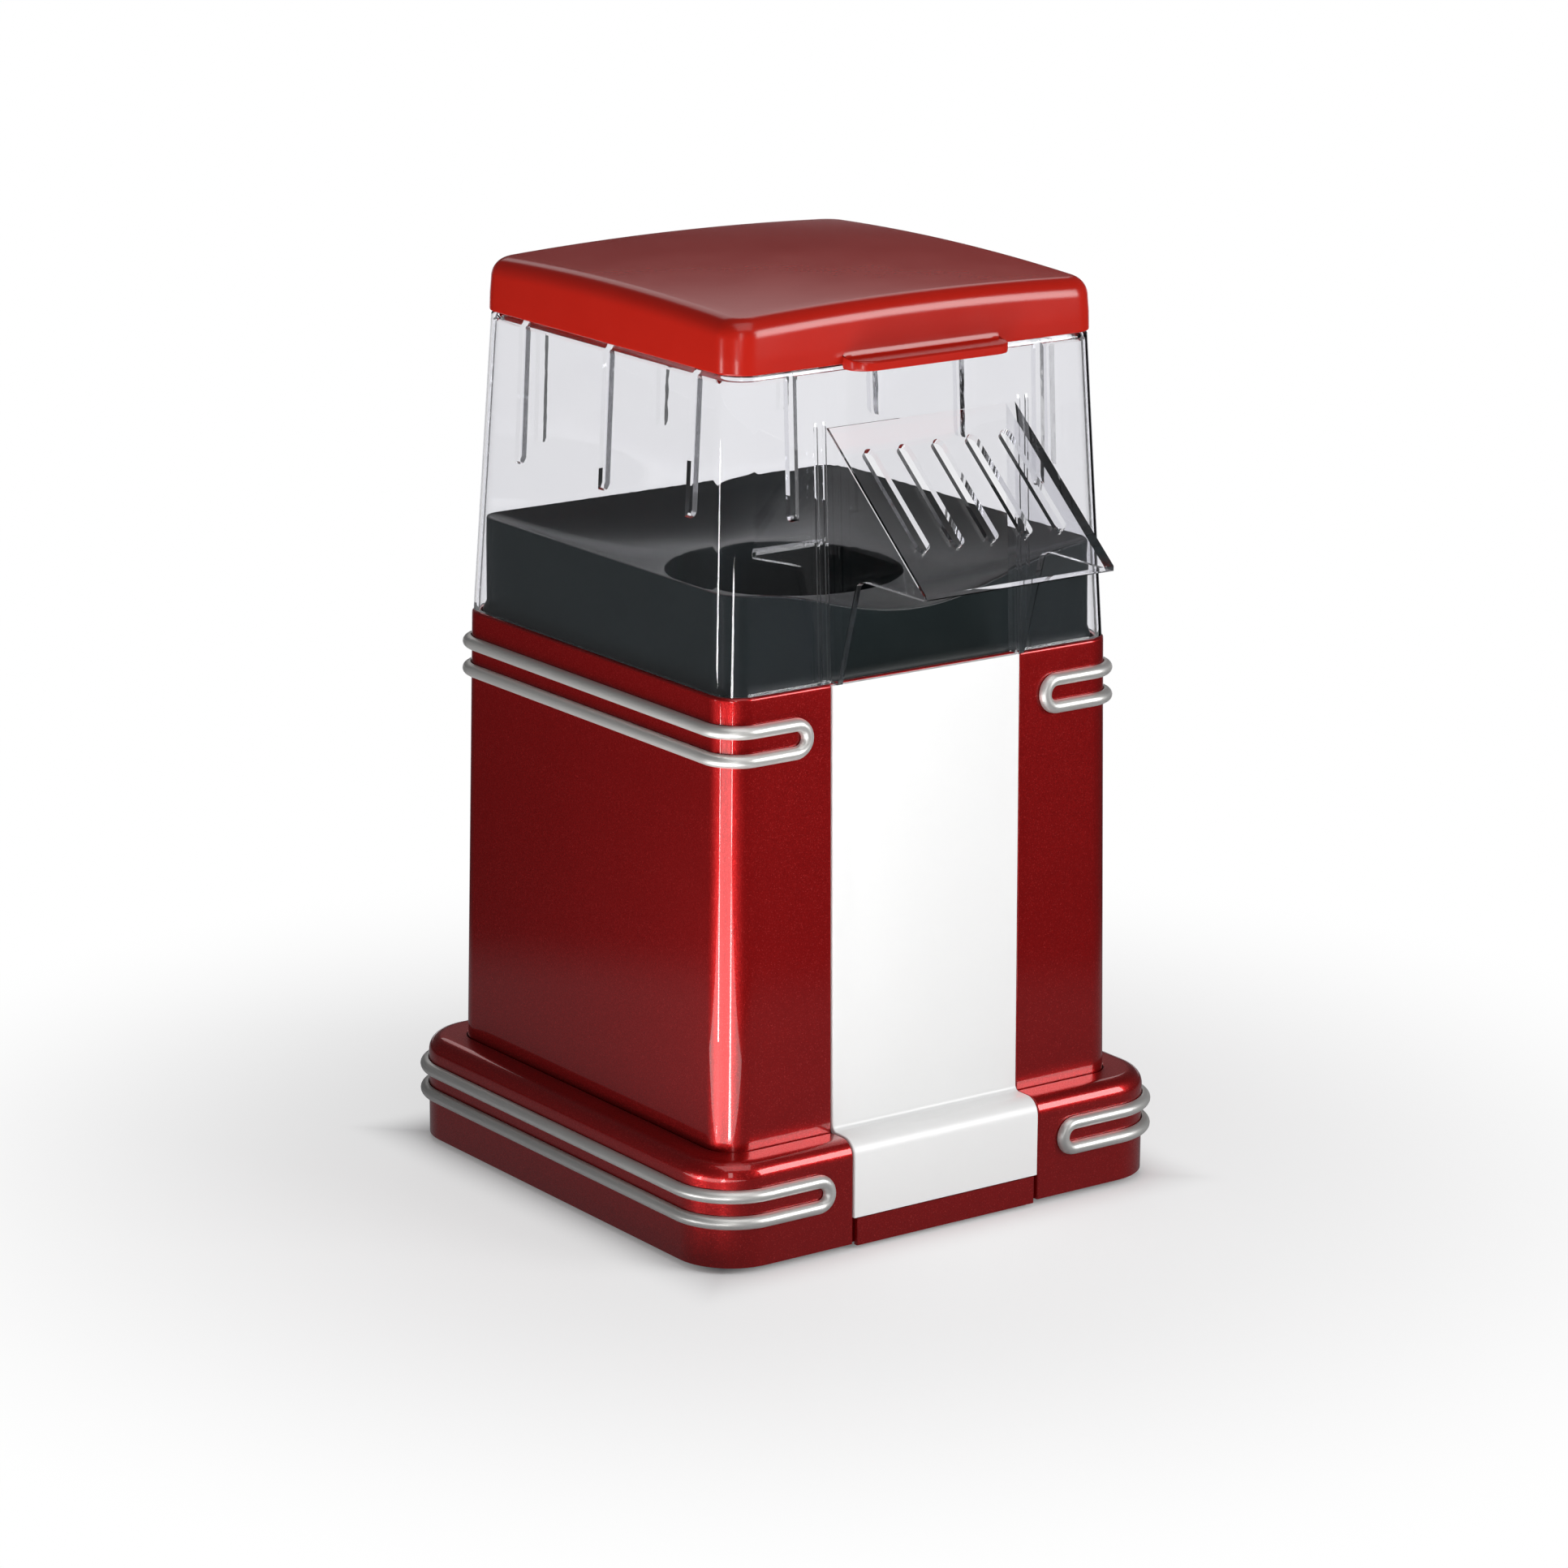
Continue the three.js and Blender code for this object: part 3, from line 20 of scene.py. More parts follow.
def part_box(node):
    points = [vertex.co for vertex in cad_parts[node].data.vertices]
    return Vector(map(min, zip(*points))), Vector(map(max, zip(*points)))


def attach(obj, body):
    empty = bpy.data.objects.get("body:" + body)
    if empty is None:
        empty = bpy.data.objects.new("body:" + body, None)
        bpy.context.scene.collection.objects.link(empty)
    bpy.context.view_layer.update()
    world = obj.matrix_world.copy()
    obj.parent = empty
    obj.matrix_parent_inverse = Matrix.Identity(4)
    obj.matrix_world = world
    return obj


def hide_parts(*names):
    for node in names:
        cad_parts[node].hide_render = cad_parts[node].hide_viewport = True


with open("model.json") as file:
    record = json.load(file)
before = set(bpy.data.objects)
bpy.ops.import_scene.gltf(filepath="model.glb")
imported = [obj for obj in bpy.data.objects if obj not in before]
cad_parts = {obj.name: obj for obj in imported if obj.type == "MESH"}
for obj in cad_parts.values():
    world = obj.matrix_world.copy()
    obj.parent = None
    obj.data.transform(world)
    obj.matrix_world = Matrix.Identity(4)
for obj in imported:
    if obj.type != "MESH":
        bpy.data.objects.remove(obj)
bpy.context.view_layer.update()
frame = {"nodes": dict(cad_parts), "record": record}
body_low, body_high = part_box("body_shell")
AXIS_Y = (body_low.y + body_high.y) / 2
print("the housing's upright axis stands at y =", round(AXIS_Y, 4))

# %% [markdown]
# ## The camera first
#
# The camera stands far away and has a long lens, so that upright lines stay nearly parallel. It
# looks at a point a little above the middle of the body. It is turned about its own line of sight
# by a third of a degree, as a camera on a hand-set tripod often is.

# %% Camera
CAMERA_AZIMUTH = math.radians(-35.7355)
CAMERA_ELEVATION = math.radians(15.283)
CAMERA_ROLL = math.radians(0.346)
CAMERA_DISTANCE = 1.71644
CAMERA_LENS = 130.6
SENSOR_WIDTH = 36
CAMERA_AIM = Vector((-0.003716, 0.008736, 0.11947))

back = Vector((
    math.sin(CAMERA_AZIMUTH) * math.cos(CAMERA_ELEVATION),
    -math.cos(CAMERA_AZIMUTH) * math.cos(CAMERA_ELEVATION),
    math.sin(CAMERA_ELEVATION),
))
level = Vector((math.cos(CAMERA_AZIMUTH), math.sin(CAMERA_AZIMUTH), 0))
right = math.cos(CAMERA_ROLL) * level + math.sin(CAMERA_ROLL) * back.cross(level)
up = back.cross(right)
lens = bpy.data.cameras.new("camera")
lens.lens = CAMERA_LENS
lens.sensor_width = SENSOR_WIDTH
lens.clip_start = 0.05
camera = bpy.data.objects.new("camera", lens)
camera.matrix_world = Matrix.Translation(CAMERA_AIM + back * CAMERA_DISTANCE) @ Matrix(
    (right, up, back)
).transposed().to_4x4()
bpy.context.scene.collection.objects.link(camera)
bpy.context.scene.camera = camera
print("camera at", [round(v, 4) for v in camera.matrix_world.translation])

# %% [markdown]
# ## From grids to meshes
#
# Most mouldings on this machine are surfaces over two parameters: one goes round the housing and
# the other up or along it. Such a surface is a grid of points, so its faces are known before its
# shape is. The helper below makes those faces, closes the grid where it is asked to, and turns
# the faces outwards by looking at the sign of the volume that they enclose.


# %% Grid faces and the mesh itself
def grid_quads(rows, columns, loop_rows=False, loop_columns=True, start=0):
    """Faces of a grid of rows x columns points: each joins a point, the one beside it, the one
    diagonally on and the one in the next row. Rows and columns may run round to their first."""
    index = np.arange(rows * columns).reshape(rows, columns) + start
    last_row = rows if loop_rows else rows - 1
    last_column = columns if loop_columns else columns - 1
    r = np.arange(last_row)[:, None]
    c = np.arange(last_column)[None, :]
    here, beside = index[r, c], index[r, (c + 1) % columns]
    beyond, ahead = index[(r + 1) % rows, (c + 1) % columns], index[(r + 1) % rows, c]
    return np.stack([here, beside, beyond, ahead], -1)


def fan(ring, pole):
    """Triangles from each edge of a closed ring of point numbers to one pole."""
    return np.stack([ring, np.roll(ring, -1), np.full(len(ring), pole)], -1)


def volume(points, quads, tris):
    """Signed volume: a sixth of the sum over triangles of a . (b x c)."""
    all_tris = np.concatenate([quads[:, [0, 1, 2]], quads[:, [0, 2, 3]], tris])
    a, b, c = points[all_tris].transpose(1, 0, 2)
    return np.einsum("ij,ij->i", a, np.cross(b, c)).sum() / 6


MM = 0.001
SHARP = math.radians(34)


def to_metres(points):
    return points * MM + np.array([0, AXIS_Y, 0])


def new_mesh(name, points, quads, tris=None):
    """Puts points in millimetres and their faces into a mesh in metres, facing outwards."""
    tris = np.zeros((0, 3), int) if tris is None else np.asarray(tris, int)
    quads = np.asarray(quads, int).reshape(-1, 4)
    if volume(points, quads, tris) < 0:
        quads, tris = quads[:, ::-1], tris[:, ::-1]
    mesh = bpy.data.meshes.new(name)
    mesh.vertices.add(len(points))
    mesh.vertices.foreach_set("co", to_metres(points).astype(np.float32).ravel())
    corners = np.concatenate([quads.ravel(), tris.ravel()]).astype(np.int32)
    mesh.loops.add(len(corners))
    mesh.loops.foreach_set("vertex_index", corners)
    starts = np.concatenate([np.arange(len(quads)) * 4, len(quads) * 4 + np.arange(len(tris)) * 3])
    mesh.polygons.add(len(starts))
    mesh.polygons.foreach_set("loop_start", starts.astype(np.int32))
    mesh.update(calc_edges=True)
    return mesh


def new_object(name, mesh):
    piece = bpy.data.objects.new(name, mesh)
    bpy.context.scene.collection.objects.link(piece)
    return piece


print("one cell of a 3 x 4 grid:", grid_quads(3, 4)[0, 0])

# %% [markdown]
# ## The rounded square
#
# Housing, plinth, hood, cover and lid all share one outline: a square with rounded corners, drawn
# smaller or larger at each height. A side is a list of columns. Each column has a place, given as
# a share of the straight part plus some millimetres, and a weight that says how much of a recess
# or a tab it takes part in. A shallow recess with softly rounded lips is then only a run of
# columns close together.


# %% Columns along a side, and the tower of outlines
def columns(marks, steps):
    """Columns of one side, spaced evenly between marks. A mark is (share, millimetres, weight)."""
    spans = [
        np.linspace(first, then, count, endpoint=False)
        for first, then, count in zip(marks[:-1], marks[1:], steps)
    ]
    return np.concatenate([*spans, [marks[-1]]]).T


def tower(rows, sides, arc=10, depth=0.0, wide=None):
    """Points of stacked rounded squares. A row is (half width, corner radius, height, outward,
    upward): a column of weight w is moved inwards by depth * w * outward and lowered by
    depth * w * upward. wide gives other half widths across, for an oblong."""
    half, corner, height, outward, upward = np.asarray(rows, float).T[..., None]
    across = half if wide is None else np.asarray(wide, float)[:, None]
    parts = []
    for quarter, (share, place, weight) in enumerate(sides):
        reach, run = (half, across) if quarter % 2 == 0 else (across, half)
        c, s = [(1, 0), (0, 1), (-1, 0), (0, -1)][quarter]
        along = share * (run - corner) + place
        away = reach - depth * weight * outward + 0 * along
        rise = height - depth * weight * upward + 0 * along
        parts.append(np.stack([along * c + away * s, along * s - away * c, rise], -1))
        turn = np.linspace(-math.pi / 2, 0, arc + 1)[1:-1] + quarter * math.pi / 2
        middle_x = (run - corner) * c + (reach - corner) * s
        middle_y = (run - corner) * s - (reach - corner) * c
        parts.append(np.stack([
            middle_x + corner * np.cos(turn),
            middle_y + corner * np.sin(turn),
            height + 0 * turn,
        ], -1))
    return np.concatenate(parts, 1)


def bend(count, first=0.0, last=90.0):
    """Sine and cosine of evenly spaced angles, for a rounded edge."""
    angle = np.radians(np.linspace(first, last, count + 1))
    return np.sin(angle), np.cos(angle)


plain_side = columns([(-1, 0, 0), (1, 0, 0)], [16])
print("a plain side has", plain_side.shape[1], "columns")


# %% [markdown]
# A wall has an outside and an inside. Walking up the outside, over the rim and down the inside
# gives rows that return to the first, so the whole wall is one closed grid. Where something
# passes through the wall, the same cells are left out of both faces, and a strip of faces joins
# the two edges.


# %% Closed walls with windows
def wall_faces(rows, count, windows=()):
    """Faces of a looped wall without its windows. A window is (outer row, outer row, inner row,
    inner row, first column, last column): the outer and inner rows pair off."""
    cells = grid_quads(rows, count, loop_rows=True)
    keep = np.ones(cells.shape[:2], bool)
    index = np.arange(rows * count).reshape(rows, count)
    strips = []
    for outer_a, outer_b, inner_a, inner_b, left, rightmost in windows:
        keep[outer_a:outer_b, left:rightmost] = False
        keep[min(inner_a, inner_b):max(inner_a, inner_b), left:rightmost] = False
        outer = window_edge(index, outer_a, outer_b, left, rightmost)
        inner = window_edge(index, inner_a, inner_b, left, rightmost)
        strips.append(np.stack([
            np.roll(outer, -1), np.roll(inner, -1), inner, outer,
        ], -1))
    return np.concatenate([cells[keep], *strips])


def window_edge(index, first, last, left, rightmost):
    """Point numbers round a block of the grid, as one loop."""
    step = 1 if last > first else -1
    rows = np.arange(first, last + step, step)
    here = np.arange(left, rightmost + 1)
    return np.concatenate([
        index[first, here][:-1], index[rows, rightmost][:-1],
        index[last, here[::-1]][:-1], index[rows[::-1], left][:-1],
    ])


print("a wall of 4 x 5 points has", len(wall_faces(4, 5)), "faces")

# %% [markdown]
# Every piece is handed over in the same way. It is smoothed except at its real edges, which are
# found by their angle, and its large faces get more say in the shading, so that the rounded edges
# between them don't bend the light on them. Then it is tied to the body that it moves with, the
# CAD nodes that it stands in for are hidden, and its slot is noted, so that it gets its finish.

# %% Handing over a finished piece
pieces = {}


def finish_piece(name, mesh, body, slot, *nodes):
    """Smooths a piece except at its real edges, ties it to its body, hides its CAD nodes and notes
    its slot.
    """
    mesh.shade_smooth()
    mesh.set_sharp_from_angle(angle=SHARP)
    piece = new_object(name, mesh)
    even = piece.modifiers.new("even_normals", "WEIGHTED_NORMAL")
    even.keep_sharp = True
    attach(piece, body)
    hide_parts(*nodes)
    pieces[name] = slot
    print(f"{name}: {len(mesh.polygons)} faces")
    return piece


# %% [markdown]
# ## The plinth
#
# On the real machine this is one deep moulding, open below, with a soft shoulder and a square
# hole that the body drops through. The front carries a shallow recess for the white panel. The
# recess follows the shoulder, so its columns are pushed back along the surface's own normal: all
# inwards on the upright face, all downwards on the ledge, and in between round the shoulder.

# %% Plinth
FIT = 0.3  # the gap between two parts that sit together
FLOOR_GAP = 2.0
PLINTH_TOP = 33.5
PLINTH_HALF = 83.5
PLINTH_CORNER = 18.0
PLINTH_WALL = 2.5
PLINTH_ARC = 14
SHOULDER = 5.0
BODY_HALF_LOW = 72.4
BODY_TAPER = 1.7
BODY_TOP = 168.5
BODY_CORNER = 9.5
RECESS_HALF = 34.3
RECESS_DEPTH = 1.5
LIP = 0.5
INLET_HEIGHT = 16.0
INLET_HALF = 4.9


def body_half(z):
    return BODY_HALF_LOW - BODY_TAPER * (z - PLINTH_TOP) / (BODY_TOP - PLINTH_TOP)


def recess_side():
    """A side with a recess in its middle: rounded lips, walls with a trace of draft, a floor."""
    sine, cosine = bend(4)
    lip = [
        (0, -RECESS_HALF - LIP + LIP * s, LIP * (1 - c) / RECESS_DEPTH)
        for s, c in zip(sine, cosine)
    ]
    left = [*lip, (0, -RECESS_HALF + 0.1, 1)]
    marks = [(-1, 0, 0), *left, *[(0, -place, w) for _, place, w in left[::-1]], (1, 0, 0)]
    return columns(marks, [8] + [1] * (len(left) - 1) + [12] + [1] * (len(left) - 1) + [8])


recessed = recess_side()
WINDOW_STEPS = (8, 3, 8)


def window_side(half):
    """A plain side with columns at the two edges of a window in its middle."""
    return columns([(-1, 0, 0), (0, -half, 0), (0, half, 0), (1, 0, 0)], WINDOW_STEPS)


def window_columns(arc):
    """First and last column of a window in the back: two sides and two corners come before it."""
    first = recessed.shape[1] + plain_side.shape[1] + 2 * (arc - 1) + WINDOW_STEPS[0]
    return first, first + WINDOW_STEPS[1]


ledge = PLINTH_TOP - PLINTH_WALL
plinth_sides = [recessed, plain_side, window_side(INLET_HALF), plain_side]
upright = [FLOOR_GAP, FLOOR_GAP + 0.4, INLET_HEIGHT - INLET_HALF, INLET_HEIGHT + INLET_HALF, 28.0]
opening = body_half(ledge) + FIT
sine, cosine = bend(10)
plinth_rows = [(PLINTH_HALF, PLINTH_CORNER, z, 1, 0) for z in upright]
plinth_rows += [
    (PLINTH_HALF - SHOULDER * (1 - c), PLINTH_CORNER - SHOULDER * (1 - c),
     PLINTH_TOP - SHOULDER * (1 - s), c, s)
    for s, c in zip(sine, cosine)
]
plinth_rows += [
    (opening + 0.5, BODY_CORNER + 0.8, PLINTH_TOP, 0, 1),
    (opening, BODY_CORNER + FIT, PLINTH_TOP - 0.3, 0, 1),
    (opening, BODY_CORNER + FIT, ledge, 0, 0),
    (PLINTH_HALF - SHOULDER, PLINTH_CORNER - SHOULDER, ledge, 0, 0),
]
inside = PLINTH_HALF - PLINTH_WALL, PLINTH_CORNER - PLINTH_WALL
plinth_rows += [(*inside, z, 0, 0) for z in upright[::-1]]
plinth_points = tower(plinth_rows, plinth_sides, arc=PLINTH_ARC, depth=RECESS_DEPTH)
rows, count = plinth_points.shape[:2]
low = upright.index(INLET_HEIGHT - INLET_HALF)
inlet = (low, low + 1, rows - 1 - low, rows - 2 - low, *window_columns(PLINTH_ARC))
finish_piece(
    "plinth_skirt",
    new_mesh("plinth_skirt", plinth_points.reshape(-1, 3), wall_faces(rows, count, [inlet])),
    "housing", "pearl_red", "plinth",
)

# %% [markdown]
# ## The body
#
# The body is a tapered square tube: a flange at its foot hides under the plinth's ledge, and its
# rim is rounded where the hood stands on it. The recess runs its whole height. At the back a
# window is left for the switch.

# %% Body
BODY_WALL = 3.0
BODY_ARC = 12
RIM_ROUND = 0.8
FLANGE = 2.2
SWITCH_HEIGHT = 75.0
SWITCH_HOLE = (6.8, 9.8)
body_foot = PLINTH_TOP - PLINTH_WALL - FIT - FLANGE
flange_top = body_foot + FLANGE
levels = [
    flange_top + 0.2, PLINTH_TOP, SWITCH_HEIGHT - SWITCH_HOLE[1], SWITCH_HEIGHT + SWITCH_HOLE[1],
    120, 150, BODY_TOP - RIM_ROUND - 1,
]
body_sides = [recessed, plain_side, window_side(SWITCH_HOLE[0]), plain_side]
sine, cosine = bend(5)
body_rows = [
    (body_half(body_foot) + FLANGE, BODY_CORNER + FLANGE, body_foot, 0, 0),
    (body_half(flange_top) + FLANGE, BODY_CORNER + FLANGE, flange_top, 0, 0),
    (body_half(flange_top), BODY_CORNER, flange_top + 0.01, 1, 0),
]
first_level = len(body_rows)
body_rows += [(body_half(z), BODY_CORNER, z, 1, 0) for z in levels]
body_rows += [
    (body_half(BODY_TOP) - RIM_ROUND * (1 - c), BODY_CORNER - RIM_ROUND * (1 - c),
     BODY_TOP - RIM_ROUND * (1 - s), 1, 0)
    for s, c in zip(sine, cosine)
]
rim_inside = body_half(BODY_TOP) - BODY_WALL
body_rows += [(rim_inside, BODY_CORNER - BODY_WALL, BODY_TOP, 0, 0)]
body_rows += [(body_half(z) - BODY_WALL, BODY_CORNER - BODY_WALL, z, 0, 0) for z in levels[::-1]]
body_rows += [(body_half(body_foot) - BODY_WALL, BODY_CORNER - BODY_WALL, body_foot, 0, 0)]
body_points = tower(body_rows, body_sides, arc=BODY_ARC, depth=RECESS_DEPTH)
rows, count = body_points.shape[:2]
low = levels.index(SWITCH_HEIGHT - SWITCH_HOLE[1])
outer_low, inner_low = first_level + low, rows - 2 - low
window = (outer_low, outer_low + 1, inner_low, inner_low - 1, *window_columns(BODY_ARC))
finish_piece(
    "body_case",
    new_mesh("body_case", body_points.reshape(-1, 3), wall_faces(rows, count, [window])),
    "housing", "pearl_red", "body_shell",
)

# %% [markdown]
# ## The white panel and the kick strip
#
# The panel is a bent strip that lies in the recess, runs down the body, over the plinth's ledge
# and shoulder, and stops above the kick strip. It is a section carried along a path: the path is
# the side view of the front, and the section is a thin bar with rounded outer edges. The kick
# strip is a shorter bar of the same kind in the red finish.


# %% Strips in the recess
def bar_section(half, inner, outer, edge, count=4):
    """A flat bar's section as (across, offset) points: square at the back, rounded in front."""
    sine, cosine = bend(count)
    lip = np.stack([half - edge * (1 - cosine), outer - edge * (1 - sine)], -1)
    mirrored = lip[::-1] * [-1, 1]
    flat = np.stack([np.linspace(half - edge, -half + edge, 9)[1:-1], np.full(7, outer)], -1)
    return np.concatenate([[[half, inner]], lip, flat, mirrored, [[-half, inner]]])


def carried(path, normal, section):
    """Points of a section carried along a path in the plane across the machine: each is the
    path's point plus the section's offset along the normal, at the section's place across."""
    across = np.broadcast_to(section[:, 0], (len(path), len(section)))
    rest = path[:, None, :] + section[None, :, 1:] * normal[:, None, :]
    return np.concatenate([across[..., None], rest], -1)


def closed_strip(points):
    """Faces of a tube of sections, closed by a fan at each end; the fans' poles come last."""
    rows, count = points.shape[:2]
    flat = points.reshape(-1, 3)
    poles = [points[0].mean(0), points[-1].mean(0)]
    index = np.arange(rows * count).reshape(rows, count)
    tris = [fan(index[0][::-1], len(flat)), fan(index[-1], len(flat) + 1)]
    quads = grid_quads(rows, count).reshape(-1, 4)
    return np.concatenate([flat, poles]), quads, np.concatenate(tris)


PANEL_HALF = 34.0
PANEL_PROUD = 0.3
PANEL_THICK = 1.5
PANEL_FOOT = 10.0
PANEL_EDGE = 0.4
heights = np.linspace(BODY_TOP - 0.3, PLINTH_TOP + 3, 12)
sine, cosine = bend(12)
shoulder_y, shoulder_z = -(PLINTH_HALF - SHOULDER), PLINTH_TOP - SHOULDER
fillet = 2.0
corner_y, corner_z = -body_half(PLINTH_TOP) - fillet, PLINTH_TOP + fillet
path = np.concatenate([
    np.stack([-body_half(heights), heights], -1),
    np.stack([corner_y + fillet * cosine, corner_z - fillet * sine], -1),
    np.stack([shoulder_y - SHOULDER * sine, shoulder_z + SHOULDER * cosine], -1),
    [[-PLINTH_HALF, 20], [-PLINTH_HALF, PANEL_FOOT]],
])
normal = np.concatenate([
    np.broadcast_to([-1, 0], (len(heights), 2)),
    np.stack([-cosine, sine], -1),
    np.stack([-sine, cosine], -1),
    [[-1, 0], [-1, 0]],
])
panel_section = bar_section(PANEL_HALF, PANEL_PROUD - PANEL_THICK, PANEL_PROUD, PANEL_EDGE)
finish_piece(
    "panel_white",
    new_mesh("panel_white", *closed_strip(carried(path, normal, panel_section))),
    "housing", "gloss_white", "front_panel",
)

STRIP_HALF = 32.9
STRIP_FOOT = 1.3
strip_section = bar_section(STRIP_HALF, PANEL_PROUD - PANEL_THICK, PANEL_PROUD, PANEL_EDGE)
path = np.array([[-PLINTH_HALF, z] for z in (PANEL_FOOT - FIT, 7, 4, STRIP_FOOT)])
normal = np.broadcast_to([-1.0, 0.0], path.shape)
finish_piece(
    "kick_plate",
    new_mesh("kick_plate", *closed_strip(carried(path, normal, strip_section))),
    "housing", "pearl_red", "kick_strip",
)

# %% [markdown]
# ## The silver rails
#
# Four hairpin rails dress the machine like the chrome on an old cinema front. Each is one rod,
# bent back on itself at both ends, that hugs a side wall and both corners. A point on it is found
# in two steps: its distance along the wall gives a place and a direction on the rounded square,
# and its section gives how far it stands out there.


# %% Rails
def along_wall(s, half, corner):
    """Place and outward direction on a rounded square's left wall at distance s from its middle:
    straight, then round the corner, then along the front (s > 0) or the back (s < 0)."""
    straight = half - corner
    arc = corner * math.pi / 2
    beyond = np.abs(s) - straight
    way = np.where(s < 0, -1.0, 1.0)
    angle = np.clip(beyond / corner, 0, math.pi / 2)
    normal = np.stack([-np.cos(angle), -way * np.sin(angle)], -1)
    place = np.stack([
        -straight + np.maximum(0, beyond - arc),
        -way * np.minimum(np.abs(s), straight),
    ], -1)
    return place + normal * np.asarray(corner)[..., None], normal


RAIL_HEIGHT = 4.0
RAIL_PROUD = 2.4
RAIL_END = 41.4
BODY_RAIL_DROP = 14.0
BODY_RAIL_SPACING = 8.4
PLINTH_RAIL_HEIGHT = 20.0
PLINTH_RAIL_SPACING = 7.9


def rail(half_at, corner, centre, spacing):
    """A closed loop of half-oval sections: two runs joined by half circles."""
    half = half_at(centre)
    straight, arc, turn = half - corner, corner * math.pi / 2, spacing / 2
    tip = 2 * straight + arc - (RAIL_END + turn + RAIL_HEIGHT / 2)
    quarter = np.linspace(straight, straight + arc, 15)
    run = np.concatenate([
        np.linspace(-tip, -straight - arc, 6)[:-1], -quarter[::-1],
        np.linspace(-straight, straight, 14)[1:-1], quarter,
        np.linspace(straight + arc, tip, 6)[1:],
    ])
    lean_end = np.linspace(math.pi / 2, -math.pi / 2, 17)[1:-1]
    sweep, climb = turn * np.cos(lean_end), turn * np.sin(lean_end)
    one = np.ones(len(run))
    s = np.concatenate([run, tip + sweep, run[::-1], -tip - sweep])
    z = np.concatenate([turn * one, climb, -turn * one, -climb])
    lean = np.concatenate([
        math.pi / 2 * one, lean_end, -math.pi / 2 * one, lean_end - math.pi,
    ])
    around = np.linspace(0, math.pi, 13)
    back_side = np.linspace(-1, 1, 5)[1:-1]
    across = np.concatenate([RAIL_HEIGHT / 2 * np.cos(around), RAIL_HEIGHT / 2 * back_side])
    proud = np.concatenate([RAIL_PROUD * np.sin(around), 0 * back_side]) + FIT
    height = centre + z[:, None] + across * np.sin(lean)[:, None]
    along = s[:, None] + across * np.cos(lean)[:, None]
    place, normal = along_wall(along, half_at(height), corner)
    plan = place + normal * proud[None, :, None]
    return np.concatenate([plan, height[..., None]], -1)


def plinth_half(z):
    return PLINTH_HALF + 0 * z


rails = {
    "body": rail(body_half, BODY_CORNER, BODY_TOP - BODY_RAIL_DROP, BODY_RAIL_SPACING),
    "plinth": rail(plinth_half, PLINTH_CORNER, PLINTH_RAIL_HEIGHT, PLINTH_RAIL_SPACING),
}
for place, points in rails.items():
    rows, count = points.shape[:2]
    for side_name, sign in (("left", 1), ("right", -1)):
        name = f"rail_{place}_{side_name}"
        mesh = new_mesh(name, points.reshape(-1, 3) * [sign, sign, 1],
                        grid_quads(rows, count, loop_rows=True).reshape(-1, 4))
        finish_piece(name, mesh, "housing", "satin_silver", f"trim_{place}_{side_name}")

# %% [markdown]
# ## The black cover and the popping chamber
#
# Under the hood a black moulding catches the popcorn and funnels stray corn back. Its rim is
# square, its hole is round, and between them each column runs from a point on the square to the
# matching point on the circle, falling steeply at first and then gently. The rim dips in front,
# where popcorn leaves. Below the hole hangs a pressed aluminium pot with slanted slots that spin
# the hot air. Its grid leans in the band of the slots, so that a slot is simply a missing cell.

# %% Cover
COVER_WALL = 2.2
COVER_RIM = 1.2
COVER_CORNER = 7.0
RIM_HEIGHT = 29.0
DIP_HEIGHT = 17.5
HOLE_HEIGHT = 16.5
THROAT = 35.6
THROAT_WALL = 2.0
THROAT_LIP = 0.6
THROAT_BOTTOM = BODY_TOP - 12.5
COVER_BOTTOM = THROAT_BOTTOM - 3.8 + FIT
HOOD_BASE = BODY_TOP + FIT
HOOD_HALF_LOW = BODY_HALF_LOW - BODY_TAPER - 0.5
HOOD_TAPER = 4.3
HOOD_HEIGHT = 91.6
HOOD_WALL = 2.0


def hood_half(z):
    return HOOD_HALF_LOW - HOOD_TAPER * (z - HOOD_BASE) / HOOD_HEIGHT


cover_sides = [columns([(-1, 0, 0), (1, 0, 0)], [28])] * 4
skirt_half = body_half(BODY_TOP) - BODY_WALL - 0.5
rim_half = hood_half(BODY_TOP + RIM_HEIGHT) - HOOD_WALL - 0.5
land_half = rim_half - COVER_RIM


def square(half, corner, z):
    return tower([(half, corner, z, 0, 0)], cover_sides, arc=12)[0]


def dip(points, half):
    """Height of the rim: level, less a smooth cosine dip along the front side."""
    front = np.clip((-points[:, 1] - half + COVER_CORNER) / COVER_CORNER * 2, 0, 1)
    share = front * (1 + np.cos(math.pi * np.clip(points[:, 0] / half, -1, 1))) / 2
    return BODY_TOP + RIM_HEIGHT - (RIM_HEIGHT - DIP_HEIGHT) * share


def raised(points, z):
    return np.concatenate([points[:, :2], np.broadcast_to(z, len(points))[:, None]], 1)


rim = square(rim_half, COVER_CORNER, 0)
land = square(land_half, COVER_CORNER - COVER_RIM, 0)
count = len(rim)
first_angle = math.radians(-135) + np.arange(count) / count * 2 * math.pi
circle = np.stack([np.cos(first_angle), np.sin(first_angle)], -1)
land_height = dip(land, land_half)
hole_z = BODY_TOP + HOLE_HEIGHT
FUNNEL_CURVE = 1.6


def funnel(share, bore, drop):
    """One ring of the funnel: share 1 is the rim and 0 the hole."""
    plan = bore * circle * (1 - share) + land[:, :2] * share
    z = hole_z + (land_height - hole_z) * share**FUNNEL_CURVE - drop
    return np.concatenate([plan, z[:, None]], 1)


def round_ring(radius, z):
    return np.concatenate([radius * circle, np.full((count, 1), z)], 1)


